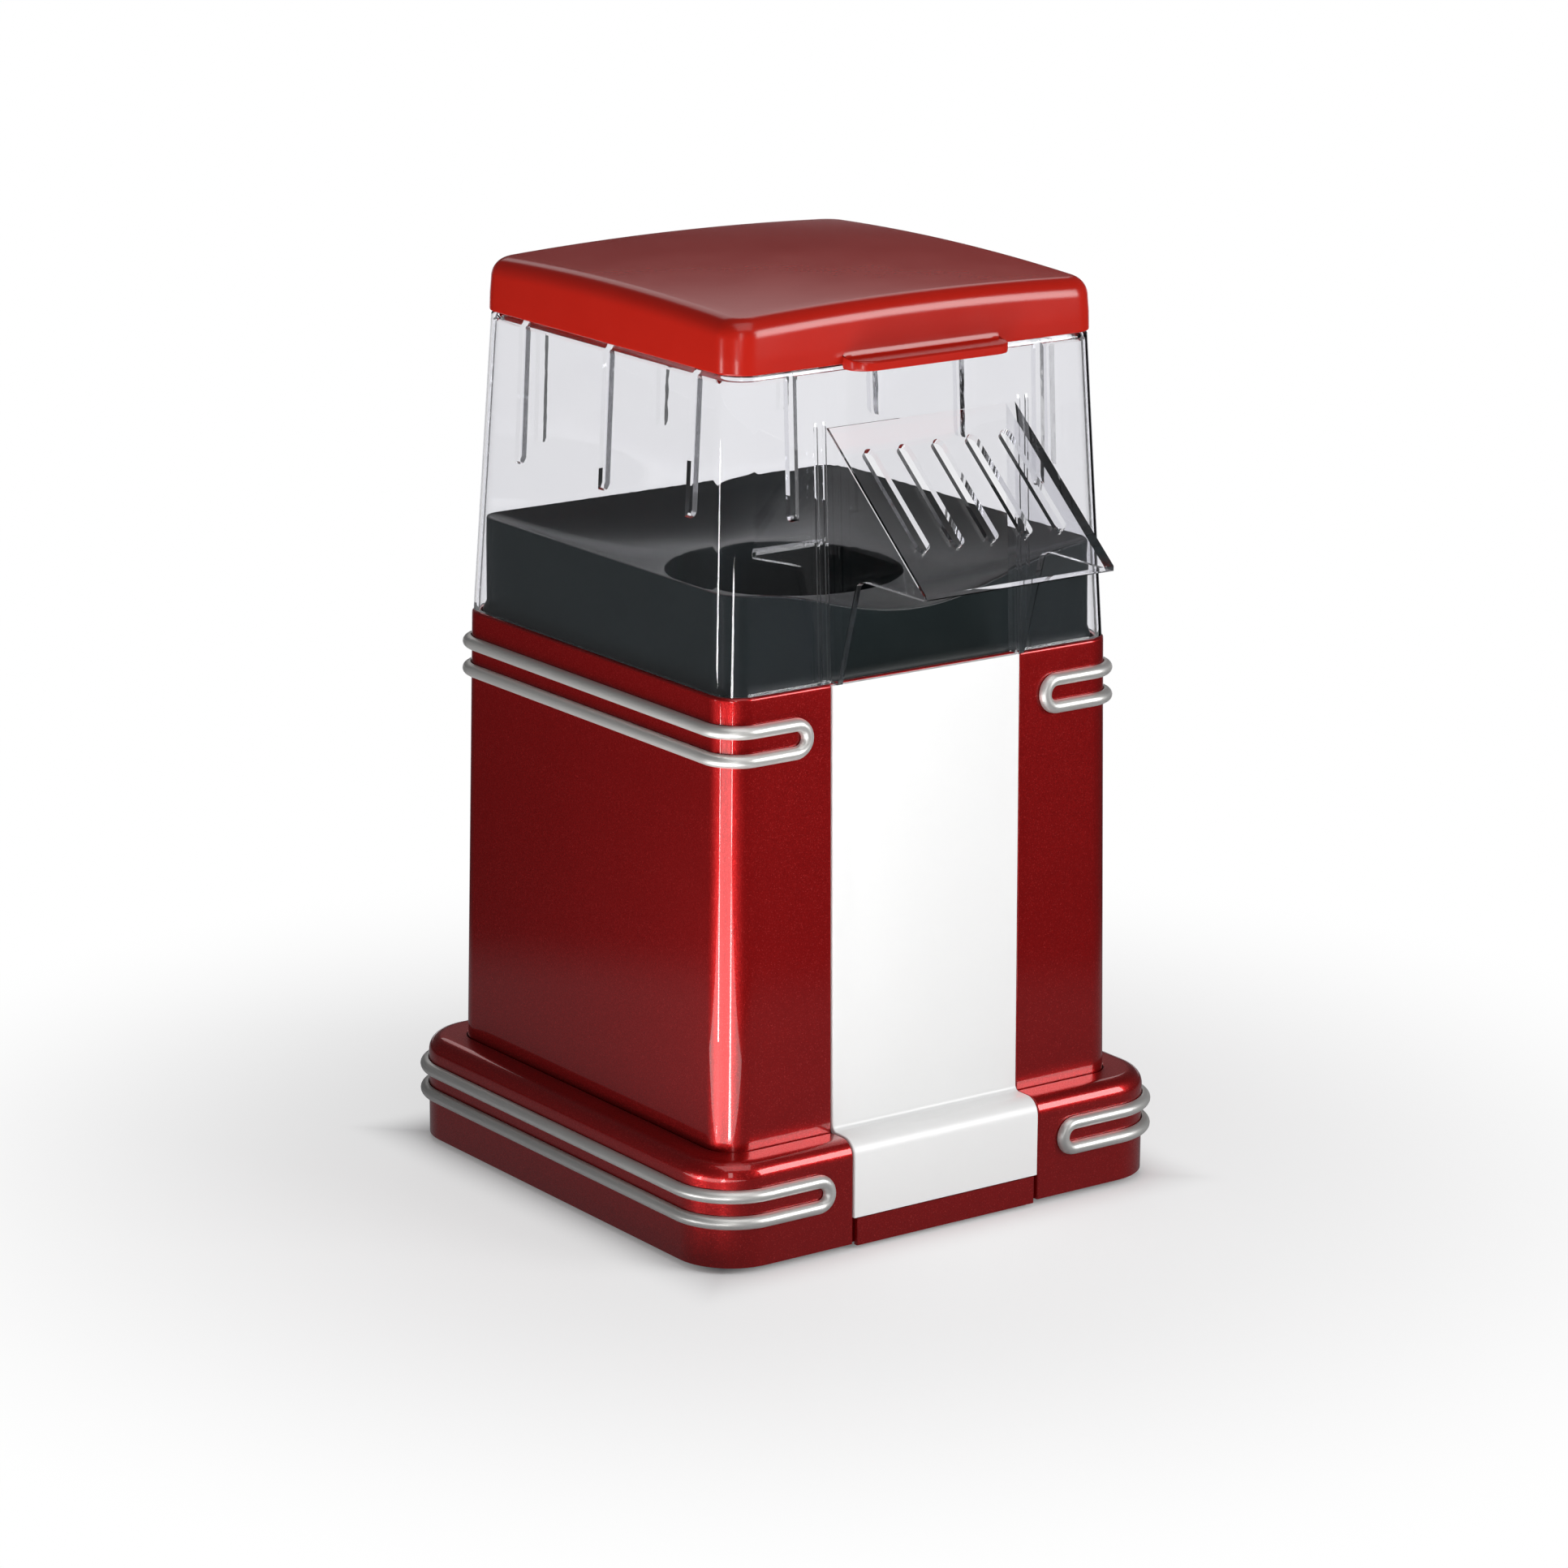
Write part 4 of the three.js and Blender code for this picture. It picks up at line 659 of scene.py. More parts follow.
shares = np.linspace(1, 0, 15)[1:-1]
rim_height = dip(rim, rim_half)
cover_rings = [
    square(skirt_half, COVER_CORNER, COVER_BOTTOM),
    square(skirt_half, COVER_CORNER, BODY_TOP - 1),
    square(skirt_half - 0.05, COVER_CORNER, BODY_TOP + 0.6),
    raised(rim, BODY_TOP + 3),
    raised(rim, rim_height - 0.5),
    raised(square(rim_half - 0.15, COVER_CORNER, 0), rim_height - 0.12),
    raised(square(rim_half - 0.5, COVER_CORNER - 0.35, 0), rim_height),
    raised(square(land_half + 0.3, COVER_CORNER - 0.9, 0), land_height),
    raised(land, land_height - 0.25),
    *[funnel(share, THROAT + THROAT_LIP, 0) for share in shares],
    round_ring(THROAT + THROAT_LIP, hole_z),
    round_ring(THROAT + 0.15, hole_z - 0.2),
    round_ring(THROAT, hole_z - 0.7),
    round_ring(THROAT, THROAT_BOTTOM + 0.3),
    round_ring(THROAT + 0.3, THROAT_BOTTOM),
    round_ring(THROAT + THROAT_WALL, THROAT_BOTTOM),
    round_ring(THROAT + THROAT_WALL, hole_z - COVER_WALL),
    *[funnel(share, THROAT + THROAT_WALL, COVER_WALL) for share in shares[::-1][::3]],
    square(skirt_half - COVER_WALL, COVER_CORNER - COVER_WALL, BODY_TOP + 2 * COVER_WALL),
    square(skirt_half - COVER_WALL, COVER_CORNER - COVER_WALL, COVER_BOTTOM),
]
cover_points = np.stack(cover_rings)
finish_piece(
    "cover_funnel",
    new_mesh("cover_funnel", cover_points.reshape(-1, 3),
             grid_quads(*cover_points.shape[:2], loop_rows=True).reshape(-1, 4)),
    "housing", "gloss_black", "chamber_cover",
)

# %% Chamber pot
SHEET = 1.0
SEAL = 1.2
CHAMBER_TOP = THROAT_BOTTOM - FIT - SEAL - FIT
CHAMBER_FLOOR = CHAMBER_TOP - 48.2
FLOOR_ROUND = 4
CONE_RISE = 10.0
CONE_TIP = CONE_RISE + 0.4
FLANGE_EDGE = THROAT + 7.2
SLOTS = 12
SLOT_BAND = (7.4, 16.6)
SLOT_LEAN = math.radians(12.4)
SLOT_COLUMNS = 10
pot_columns = SLOTS * SLOT_COLUMNS


def turned(profile, count, lean=None):
    """Points of a profile of (radius, height) turned about the axis; lean shifts each row."""
    radius, height = np.asarray(profile, float).T[..., None]
    angle = np.linspace(0, 2 * math.pi, count, endpoint=False)[None, :]
    angle = angle + (0 if lean is None else np.asarray(lean)[:, None])
    return np.stack([radius * np.cos(angle), radius * np.sin(angle), height + 0 * angle], -1)


sine, cosine = bend(6)
round_in = THROAT - FLOOR_ROUND
band = np.linspace(*SLOT_BAND, 6)
cone = [(2, CONE_RISE), (6, CONE_RISE - 1), (12, 6.6), (20, 2.9), (27, 0.3)]
inner_wall = [(r, CHAMBER_FLOOR + SHEET + z) for r, z in cone]
inner_wall += [
    (round_in + FLOOR_ROUND * s, CHAMBER_FLOOR + SHEET + FLOOR_ROUND * (1 - c))
    for s, c in zip(sine, cosine)
]
inner_wall += [(THROAT, CHAMBER_FLOOR + z) for z in band]
rim_roll = [(THROAT, CHAMBER_TOP - 1.2), (THROAT + 0.35, CHAMBER_TOP - 0.35),
            (THROAT + 1.2, CHAMBER_TOP)]
outer_edge = [(FLANGE_EDGE, CHAMBER_TOP), (FLANGE_EDGE, CHAMBER_TOP - SHEET)]
outer_wall = [(THROAT + SHEET, CHAMBER_TOP - SHEET)]
outer_wall += [(THROAT + SHEET, CHAMBER_FLOOR + z) for z in band[::-1]]
outer_wall += [
    (round_in + FLOOR_ROUND * s + SHEET * s, CHAMBER_FLOOR + (FLOOR_ROUND + SHEET) * (1 - c))
    for s, c in zip(sine[::-1], cosine[::-1])
]
outer_wall += [(r, CHAMBER_FLOOR + z) for r, z in cone[::-1]]
profile = inner_wall + rim_roll + outer_edge + outer_wall
slot_row = len(cone) + len(sine)
outer_row = len(inner_wall) + len(rim_roll) + len(outer_edge) + 1
lean = np.zeros(len(profile))
ramp = np.linspace(0, SLOT_LEAN, len(band))
lean[slot_row:slot_row + len(band)] = ramp
lean[slot_row + len(band):outer_row] = SLOT_LEAN
lean[outer_row:outer_row + len(band)] = ramp[::-1]
pot_points = turned(profile, pot_columns, lean)
rows = len(profile)
cells = grid_quads(rows, pot_columns)
index = np.arange(rows * pot_columns).reshape(rows, pot_columns)
keep = np.ones(cells.shape[:2], bool)
strips = []
last_band = len(band) - 1
for slot in range(SLOTS):
    column = slot * SLOT_COLUMNS + 2
    keep[slot_row:slot_row + last_band, column] = False
    keep[outer_row:outer_row + last_band, column] = False
    inner_edge = window_edge(index, slot_row, slot_row + last_band, column, column + 1)
    outer_loop = window_edge(index, outer_row + last_band, outer_row, column, column + 1)
    strips.append(np.stack([
        np.roll(inner_edge, -1), np.roll(outer_loop, -1), outer_loop, inner_edge,
    ], -1))
flat = pot_points.reshape(-1, 3)
poles = [[0, 0, CHAMBER_FLOOR + SHEET + CONE_TIP], [0, 0, CHAMBER_FLOOR + CONE_TIP]]
tris = np.concatenate([fan(index[0][::-1], len(flat)), fan(index[-1], len(flat) + 1)])
finish_piece(
    "chamber_pot",
    new_mesh("chamber_pot", np.concatenate([flat, poles]),
             np.concatenate([cells[keep], *strips]), tris),
    "housing", "aluminium", "popping_chamber",
)

# %% [markdown]
# ## The clear hood
#
# The hood is one clear moulding: a tapered box without a floor, a neck that the lid sits on, and
# the chute with five slots in its roof. It is a solid form with its hollow taken out, so here a
# Boolean does in one step what no single grid can. The forms that it joins and cuts are still
# worked out as grids and prisms. The slots have round ends, so each is a stadium outline carried
# through the chute's roof.


# %% Forms for the hood
def solid_tower(rows, sides, arc):
    """A tower of outlines closed by a fan below and above."""
    return closed_strip(tower(rows, sides, arc))


def prism(outline, left, right):
    """A prism across the machine from (y, z) points: two outlines and the faces between."""
    outline = np.asarray(outline, float)
    rings = np.stack([
        np.concatenate([np.full((len(outline), 1), x), outline], 1) for x in (left, right)
    ])
    return closed_strip(rings)


def temporary(name, made):
    return new_object(name, new_mesh(name, *made))


def joined(made):
    """Several closed forms, which don't touch each other, as one set of points and faces."""
    offsets = np.cumsum([0] + [len(points) for points, _, _ in made[:-1]])
    return (
        np.concatenate([points for points, _, _ in made]),
        np.concatenate([quads + start for (_, quads, _), start in zip(made, offsets)]),
        np.concatenate([tris + start for (_, _, tris), start in zip(made, offsets)]),
    )


HOOD_SHOULDER = HOOD_BASE + HOOD_HEIGHT
HOOD_CORNER = 9.0
HOOD_ROUND = 1.2
HOOD_ARC = 12
CEILING_ROUND = 0.8
NECK_HEIGHT = 7.0
NECK_WALL = 1.8
NECK_CORNER = HOOD_CORNER - 1
LID_BASE = HOOD_SHOULDER + FIT
LID_OVERHANG = 0.3
LID_HALF = HOOD_HALF_LOW - HOOD_TAPER + LID_OVERHANG
LID_WALL = 2.0
LID_PLAY = 0.4
NECK_HALF = LID_HALF - LID_WALL - LID_PLAY
neck_top = HOOD_SHOULDER + NECK_HEIGHT
hood_sides = [columns([(-1, 0, 0), (1, 0, 0)], [4])] * 4
sine, cosine = bend(4)
outer_rows = [(hood_half(HOOD_BASE), HOOD_CORNER, HOOD_BASE, 0, 0)]
outer_rows += [
    (hood_half(HOOD_SHOULDER) - HOOD_ROUND * (1 - c), HOOD_CORNER - HOOD_ROUND * (1 - c),
     HOOD_SHOULDER - HOOD_ROUND * (1 - s), 0, 0)
    for s, c in zip(sine, cosine)
]
outer_rows += [
    (NECK_HALF + 0.02, NECK_CORNER, HOOD_SHOULDER, 0, 0),
    (NECK_HALF, NECK_CORNER, neck_top - 0.5, 0, 0),
    (NECK_HALF - 0.5, NECK_CORNER - 0.5, neck_top, 0, 0),
]
ceiling = HOOD_SHOULDER - HOOD_WALL
inner_rows = [
    (hood_half(HOOD_BASE) - HOOD_WALL, HOOD_CORNER - HOOD_WALL, HOOD_BASE - 1, 0, 0),
    (hood_half(ceiling) - HOOD_WALL, HOOD_CORNER - HOOD_WALL, ceiling - CEILING_ROUND, 0, 0),
    (hood_half(ceiling) - HOOD_WALL - CEILING_ROUND, HOOD_CORNER - HOOD_WALL - CEILING_ROUND,
     ceiling, 0, 0),
    (NECK_HALF - NECK_WALL, NECK_CORNER - NECK_WALL, ceiling + 0.02, 0, 0),
    (NECK_HALF - NECK_WALL, NECK_CORNER - NECK_WALL, neck_top + 1, 0, 0),
]
outer_form = temporary("hood_outer", solid_tower(outer_rows, hood_sides, HOOD_ARC))
inner_form = temporary("hood_inner", solid_tower(inner_rows, hood_sides, HOOD_ARC))
print("the neck is", round(2 * NECK_HALF, 1), "mm wide")

# %% [markdown]
# The chute has a sloping roof, two cheeks and no floor. It could be folded from a sheet, but as a
# side view carried across the machine, less a smaller one, its walls keep their thickness at
# every bend. Five slots in the roof let steam out, and upright ribs stiffen the walls.

# %% Chute, slots and ribs
CHUTE_HALF = 34.0
CHUTE_TOP = HOOD_BASE + 74.2
LIP_HEIGHT = HOOD_BASE + 34.2
LIP_DEPTH = 1.5
CHUTE_LIP = HOOD_HALF_LOW + 43.6
HEEL_REACH = 11.8
FOOT_REACH = 2.8
HEEL_ROUND = 4.0
top_y = -hood_half(CHUTE_TOP)
slope = np.array([-CHUTE_LIP - top_y, LIP_HEIGHT - CHUTE_TOP])
slope_length = float(np.hypot(*slope))
down = slope / slope_length
deep = top_y + 2 * HOOD_WALL
heel_y, foot_y = -HOOD_HALF_LOW - HEEL_REACH, -HOOD_HALF_LOW - FOOT_REACH
heel_z = LIP_HEIGHT - LIP_DEPTH
lower = np.array([heel_y - foot_y, heel_z - HOOD_BASE])
lower = lower / np.hypot(*lower)
heel_start = np.array([heel_y - HEEL_ROUND, heel_z])
heel_end = np.array([heel_y, heel_z]) - lower * HEEL_ROUND
share = np.linspace(0, 1, 7)[:, None]
heel_curve = (
    (1 - share) ** 2 * heel_start + 2 * share * (1 - share) * [heel_y, heel_z]
    + share**2 * heel_end
)
chute_outline = [
    (deep, CHUTE_TOP), (top_y, CHUTE_TOP), (-CHUTE_LIP, LIP_HEIGHT), (-CHUTE_LIP, heel_z),
    *heel_curve, (foot_y, HOOD_BASE), (deep, HOOD_BASE),
]
fall = down[1] / down[0]
under = HOOD_WALL / abs(down[0])
mouth_back = top_y + 4 * HOOD_WALL
mouth_outline = [
    (mouth_back, CHUTE_TOP - under + fall * (mouth_back - top_y)),
    (-CHUTE_LIP - 1, LIP_HEIGHT - under - fall), (-CHUTE_LIP - 1, HOOD_BASE - 1),
    (mouth_back, HOOD_BASE - 1),
]
chute_form = temporary("chute_form", prism(chute_outline, -CHUTE_HALF, CHUTE_HALF))

SLOT_COUNT = 5
SLOT_WIDTH = 4.0
SLOT_PITCH = 12.25
SLOT_SHARES = (0.18, 0.72)
angle = np.radians(np.linspace(0, 180, 9))
ends = [share * slope_length for share in SLOT_SHARES]
stadium = np.concatenate([
    np.stack([SLOT_WIDTH / 2 * np.cos(angle), ends[1] + SLOT_WIDTH / 2 * np.sin(angle)], -1),
    np.stack([-SLOT_WIDTH / 2 * np.cos(angle), ends[0] - SLOT_WIDTH / 2 * np.sin(angle)], -1),
])
out_of_roof = np.array([down[1], -down[0]])


def slot_form(x):
    rings = []
    for depth in (-6, 4):
        base = np.array([top_y, CHUTE_TOP]) + stadium[:, 1:] * down + depth * out_of_roof
        rings.append(np.concatenate([stadium[:, :1] + x, base], 1))
    return closed_strip(np.stack(rings))


slot_places = (np.arange(SLOT_COUNT) - (SLOT_COUNT - 1) / 2) * SLOT_PITCH
cutters = temporary("hood_cutters", joined([slot_form(x) for x in slot_places]))
mouth_form = temporary(
    "chute_mouth", prism(mouth_outline, -CHUTE_HALF + HOOD_WALL, CHUTE_HALF - HOOD_WALL)
)

RIB_WIDTH = 3.0
RIB_DEPTH = 2.2
RIB_LENGTH = 41.6
RIB_SPREAD = 44.5
rib_foot = ceiling - RIB_LENGTH


def rib_form(place, quarter):
    """An upright rib inside one wall: a thin prism, rounded at its foot, turned to its wall."""
    low, high = hood_half(rib_foot) - HOOD_WALL, hood_half(ceiling) - HOOD_WALL
    outline = [
        (-low - 0.5, rib_foot), (-high - 0.5, ceiling + 0.5), (-high + RIB_DEPTH, ceiling + 0.5),
        (-low + RIB_DEPTH, rib_foot + 2), (-low + RIB_DEPTH * 0.6, rib_foot + 0.5),
    ]
    points, quads, tris = prism(outline, place - RIB_WIDTH / 2, place + RIB_WIDTH / 2)
    c, s = [(1, 0), (0, 1), (-1, 0), (0, -1)][quarter]
    turn = np.array([[c, s, 0], [-s, c, 0], [0, 0, 1]])
    return points @ turn, quads, tris


rib_list = [
    rib_form(place, quarter)
    for quarter in range(4)
    for place in ((-RIB_SPREAD, RIB_SPREAD) if quarter == 0 else (-RIB_SPREAD, 0, RIB_SPREAD))
]

BEAD_WIDTH = 1.0
BEAD_PROUD = 0.6
BEAD_PLACES = (CHUTE_HALF + 1.0, CHUTE_HALF + 4.0)


def bead_form(place):
    """A fine upright bead outside the front wall, beside the root of a cheek."""
    foot, head = HOOD_BASE + 0.8, CHUTE_TOP + 2
    outline = [
        (-hood_half(foot) + 0.5, foot), (-hood_half(head) + 0.5, head),
        (-hood_half(head) - 0.1, head), (-hood_half(head - 2) - BEAD_PROUD, head - 2),
        (-hood_half(foot) - BEAD_PROUD, foot),
    ]
    return prism(outline, place - BEAD_WIDTH / 2, place + BEAD_WIDTH / 2)


bead_list = [bead_form(side * place) for side in (-1, 1) for place in BEAD_PLACES]
ribs = temporary("hood_ribs", joined(rib_list + bead_list))
print(len(slot_places), "slots,", len(rib_list), "ribs and", len(bead_list), "beads")


# %% [markdown]
# Booleans leave tiny edges where two surfaces nearly meet, and those spoil the smooth shading. So
# doubled points are merged and faces without an area are dissolved before the piece is used.


# %% Joining and cutting the hood
def combine(target, operand, operation):
    """Joins or cuts target with operand and drops the operand."""
    change = target.modifiers.new(operation.lower(), "BOOLEAN")
    change.operation = operation
    change.solver = "EXACT"
    change.object = operand
    graph = bpy.context.evaluated_depsgraph_get()
    mesh = bpy.data.meshes.new_from_object(target.evaluated_get(graph))
    target.modifiers.clear()
    target.data = mesh
    bpy.data.objects.remove(operand)


combine(outer_form, chute_form, "UNION")
combine(outer_form, inner_form, "DIFFERENCE")
combine(outer_form, mouth_form, "DIFFERENCE")
combine(outer_form, cutters, "DIFFERENCE")
combine(outer_form, ribs, "UNION")
hood_mesh = outer_form.data
bpy.data.objects.remove(outer_form)
MERGE = 1e-5
clean = bmesh.new()
clean.from_mesh(hood_mesh)
bmesh.ops.remove_doubles(clean, verts=clean.verts, dist=MERGE)
bmesh.ops.dissolve_degenerate(clean, edges=clean.edges, dist=MERGE)
print("open edges left in the hood:", sum(not edge.is_manifold for edge in clean.edges))
clean.to_mesh(hood_mesh)
clean.free()
hood_piece = finish_piece("hood_clear", hood_mesh, "hood", "clear_plastic", "hood")
print("hood box", [round(v, 4) for v in hood_piece.dimensions])

# %% [markdown]
# ## The lid
#
# The lid is also the cup that measures the corn. Its top is a very shallow crown, its edges are
# generously rounded, and a finger tab stands out in front. The tab is not added on: it is a run
# of columns whose rows are drawn outwards, so lid and tab are one skin as they are one moulding.

# %% Lid
LID_HEIGHT = 19.3
LID_DRAFT = 0.4
LID_ROUND = 5.5
LID_CORNER = 9.0
LID_CROWN = 3.5
LID_ARC = 14
TAB_HALF = 28.0
TAB_REACH = 8.8
tab_ends = [
    # distance from the middle, share of the tab's reach
    (TAB_HALF, 0.0), (27.97, 0.26), (27.78, 0.45), (27.13, 0.63), (26.1, 0.78), (24.75, 0.9),
    (23.2, 0.97), (21.5, 1.0),
]
left_tab = [(0, -x, w) for x, w in tab_ends]
right_tab = [(0, x, w) for x, w in tab_ends[::-1]]
tab_side = columns(
    [(-1, 0, 0), *left_tab, *right_tab, (1, 0, 0)],
    [10] + [1] * (len(tab_ends) - 1) + [12] + [1] * (len(tab_ends) - 1) + [10],
)
lid_sides = [tab_side, *[columns([(-1, 0, 0), (1, 0, 0)], [24])] * 3]
apex = LID_BASE + LID_HEIGHT - 0.08  # a hair under the CAD lid, so that its box isn't passed
crown_reach = 2 * (LID_HALF - LID_ROUND) ** 2
CROWN_SHARES = np.array([0.93, 0.8, 0.62, 0.42, 0.22, 0.06])


def edge_rows(inset, round_edge, steps):
    """Half widths, corners and falls of the rounded edge: a quarter circle seen from the side."""
    sine, cosine = bend(steps)
    shrink = inset + round_edge * (1 - cosine)
    half, corner = LID_HALF - LID_DRAFT - shrink, LID_CORNER - shrink
    return np.stack([half, corner, round_edge * (1 - sine)], -1)


def domed(rows, drop):
    """The rounded edge's outlines and, inside them, shrunken copies of the last one. All are laid
    on the crown: each height falls with the square of the distance from the middle."""
    edge = tower([(half, corner, 0, 0, 0) for half, corner, _ in rows], lid_sides, LID_ARC)
    crown = edge[-1] * np.stack([CROWN_SHARES, CROWN_SHARES, CROWN_SHARES], -1)[:, None]
    flat = np.concatenate([edge, crown])
    fall = np.concatenate([rows[:, 2], np.zeros(len(CROWN_SHARES))])[:, None]
    distance = flat[..., 0] ** 2 + flat[..., 1] ** 2
    flat[..., 2] = apex - LID_CROWN * distance / crown_reach - fall - drop
    return flat


wall_rows = [
    # the wall's height above the lid's base, the tab's drop below it, reach, inset of the wall
    (5.3, 0.0, 0.0, 0.0), (3.7, 0.0, 0.0, 0.0), (3.3, 0.5, 0.12, 0.0), (3.0, 0.9, 0.5, 0.0),
    (2.7, 0.95, 1.2, 0.0), (2.3, 0.6, 7.7, 0.0), (2.0, 0.5, 8.4, 0.0), (1.7, 0.6, TAB_REACH, 0.0),
    (1.3, 1.9, TAB_REACH, 0.0), (1.0, 2.1, 8.5, 0.0), (0.7, 2.0, 7.8, 0.0), (0.4, 1.8, 0.9, 0.0),
    (0.15, 1.45, 0.55, 0.1), (0.0, 0.1, 0.5, 0.35),
]
weight = np.zeros(sum(side.shape[1] for side in lid_sides) + 4 * (LID_ARC - 1))
weight[:tab_side.shape[1]] = tab_side[2]
lowered = np.minimum(1, 3 * weight)
wall_rings = []
for height, drop, reach, inset in wall_rows:
    half = LID_HALF - LID_DRAFT * height / LID_HEIGHT - inset
    row = (half, LID_CORNER - inset, LID_BASE + height, 0, 0)
    outline = tower([row], lid_sides, LID_ARC)[0]
    outline[:, 1] -= weight * (reach + inset * (weight > 0))
    outline[:, 2] -= lowered * drop
    wall_rings.append(outline)
outside = domed(edge_rows(0, LID_ROUND, 10), 0)[::-1]
inside = domed(edge_rows(LID_WALL, LID_ROUND - LID_WALL, 6), LID_WALL)
foot = tower([(LID_HALF - LID_WALL, LID_CORNER - LID_WALL, LID_BASE, 0, 0)], lid_sides, LID_ARC)
lid_points = np.concatenate([outside, np.stack(wall_rings), foot, inside])
finish_piece(
    "lid_cup", new_mesh("lid_cup", *closed_strip(lid_points)), "lid", "gloss_red", "lid"
)

# %% [markdown]
# ## Feet, switch and cord inlet
#
# These are small, and some are only seen from behind or below, but a machine without them would
# not work. Feet and grommet are turned shapes. The switch is a frame with a pocket and a rocker
# with a shallow V in its face.


# %% Turned parts
def lathe_piece(profile, count, loop):
    """A turned form: looped for a ring, or closed by a pole at each end."""
    points = turned(profile, count)
    if loop:
        quads = grid_quads(len(profile), count, loop_rows=True).reshape(-1, 4)
        return points.reshape(-1, 3), quads, np.zeros((0, 3), int)
    return closed_strip(points)


FOOT_SPOT = PLINTH_HALF - 21.5
sine, cosine = bend(4)
foot_profile = [(3, 0.0), (5.6, 0.0)]
foot_profile += [(5.8 + 1.2 * s, 1.2 * (1 - c)) for s, c in zip(sine, cosine)]
foot_profile += [(7, 3.0), (6.9, 3.2), (2.5, 3.2), (2.5, 6.3), (3.2, 6.3), (3.0, 7.2), (2.2, 8.0)]
foot_points, foot_quads, foot_tris = lathe_piece(foot_profile, 40, loop=False)
spots = [(1, 1), (-1, 1), (-1, -1), (1, -1)]
for number, (x, y) in enumerate(spots, 1):
    shifted = foot_points + [x * FOOT_SPOT, y * FOOT_SPOT, 0]
    finish_piece(f"rubber_foot_{number}", new_mesh(f"rubber_foot_{number}", shifted, foot_quads,
                 foot_tris), "housing", "rubber", f"foot_{number}")

grommet_profile = [
    (3.6, -5.2), (6.0, -5.2), (6.5, -2.8), (4.8, -2.8), (4.8, 0.3), (7.0, 0.3), (6.9, 0.9),
    (6.5, 1.5), (5.8, 2.1), (5.0, 2.4), (4.2, 2.3), (3.7, 1.9), (3.6, 1.4),
]
points, quads, tris = lathe_piece(grommet_profile, 48, loop=True)
points = points[:, [0, 2, 1]] * [1, 1, -1] + [0, PLINTH_HALF, INLET_HEIGHT]
finish_piece("cord_bush", new_mesh("cord_bush", points, quads, tris),
             "housing", "rubber", "cord_grommet")

# %% Switch
BEZEL_HALF = 10.5
BEZEL_PROUD = 1.8
BEZEL_DEPTH = 14
PIVOT_DEPTH = 3.2
ROCKER_HALF = 4.5
seat = body_half(SWITCH_HEIGHT - BEZEL_HALF) + FIT
face = seat + BEZEL_PROUD
rear = seat - BEZEL_DEPTH


def oblong(rows):
    """A stack of oblongs facing the back of the machine: a row is (half width, half height,
    corner, distance out)."""
    tall = [(high, corner, out, 0, 0) for _, high, corner, out in rows]
    points = tower(tall, [plain_side] * 4, arc=6, wide=[wide for wide, _, _, _ in rows])
    return points[..., [0, 2, 1]] + [0, 0, SWITCH_HEIGHT]


frame_rows = [
    (6.5, 9.5, 0.8, rear), (6.5, 9.5, 0.8, seat), (7.5, BEZEL_HALF, 1.2, seat),
    (7.5, BEZEL_HALF, 1.2, face - 0.6), (7.3, 10.3, 1.1, face - 0.17), (6.9, 9.9, 0.9, face),
    (5.2, 8.5, 0.6, face), (4.9, 8.2, 0.4, face - 0.2), (4.8, 8.1, 0.4, face - 0.6),
    (4.8, 8.1, 0.4, rear + 1.5),
]
finish_piece("switch_bezel", new_mesh("switch_bezel", *closed_strip(oblong(frame_rows))),
             "housing", "bakelite", "switch_frame")

PIVOT = np.array([face - PIVOT_DEPTH, SWITCH_HEIGHT])
rest = math.radians(-10)
upper = np.array([[2.8, 0], [2.9, 1.5], [3.25, 3.6], [4.1, 6.3], [4.3, 7.0], [4.0, 7.4],
                  [-1.5, 7.0], [-4.5, 2.0]])
rocker_outline = np.concatenate([upper, upper[1:][::-1] * [1, -1]])
turn = np.array([[math.cos(rest), math.sin(rest)], [-math.sin(rest), math.cos(rest)]])
rocker_points = prism(rocker_outline @ turn + PIVOT, -ROCKER_HALF, ROCKER_HALF)
rocker = finish_piece("rocker_key", new_mesh("rocker_key", *rocker_points),
                      "rocker", "switch_red", "switch_rocker")
soft = rocker.modifiers.new("soft_edges", "BEVEL")
soft.width = 0.3 * MM
soft.segments = 2
soft.limit_method = "ANGLE"

# %% [markdown]
# ## Shared effects
#
# Some effects come back in several finishes: the faint unevenness that handling and moulding
# leave in a gloss, the fine swell of a moulded skin, metal flakes under lacquer, and the fine
# lines of drawn or turned metal. Each is a node group, built once, with its own strengths as
# inputs. All patterns read Object coordinates, so they stay put on their piece in every pose.


# %% Node helpers
def add_node(tree, kind, values=None, **settings):
    made = tree.nodes.new(f"ShaderNode{kind}")
    for key, value in settings.items():
        setattr(made, key, value)
    for key, value in (values or {}).items():
        if isinstance(value, bpy.types.NodeSocket):
            tree.links.new(value, made.inputs[key])
        else:
            made.inputs[key].default_value = value
    return made


def new_group(name, inputs, outputs):
    """An empty node group with named sockets: inputs as (name, default), outputs as (name, kind).
    Returns its tree, the values that go in, the sockets to fill, and Object coordinates."""
    tree = bpy.data.node_groups.new(name, "ShaderNodeTree")
    for label, default in inputs:
        kind = "NodeSocketColor" if isinstance(default, tuple) else "NodeSocketFloat"
        socket = tree.interface.new_socket(label, in_out="INPUT", socket_type=kind)
        socket.default_value = default
    for label, kind in outputs:
        tree.interface.new_socket(label, in_out="OUTPUT", socket_type=f"NodeSocket{kind}")
    start, end = tree.nodes.new("NodeGroupInput"), tree.nodes.new("NodeGroupOutput")
    place = tree.nodes.new("ShaderNodeTexCoord").outputs["Object"]
    return tree, start.outputs, end.inputs, place


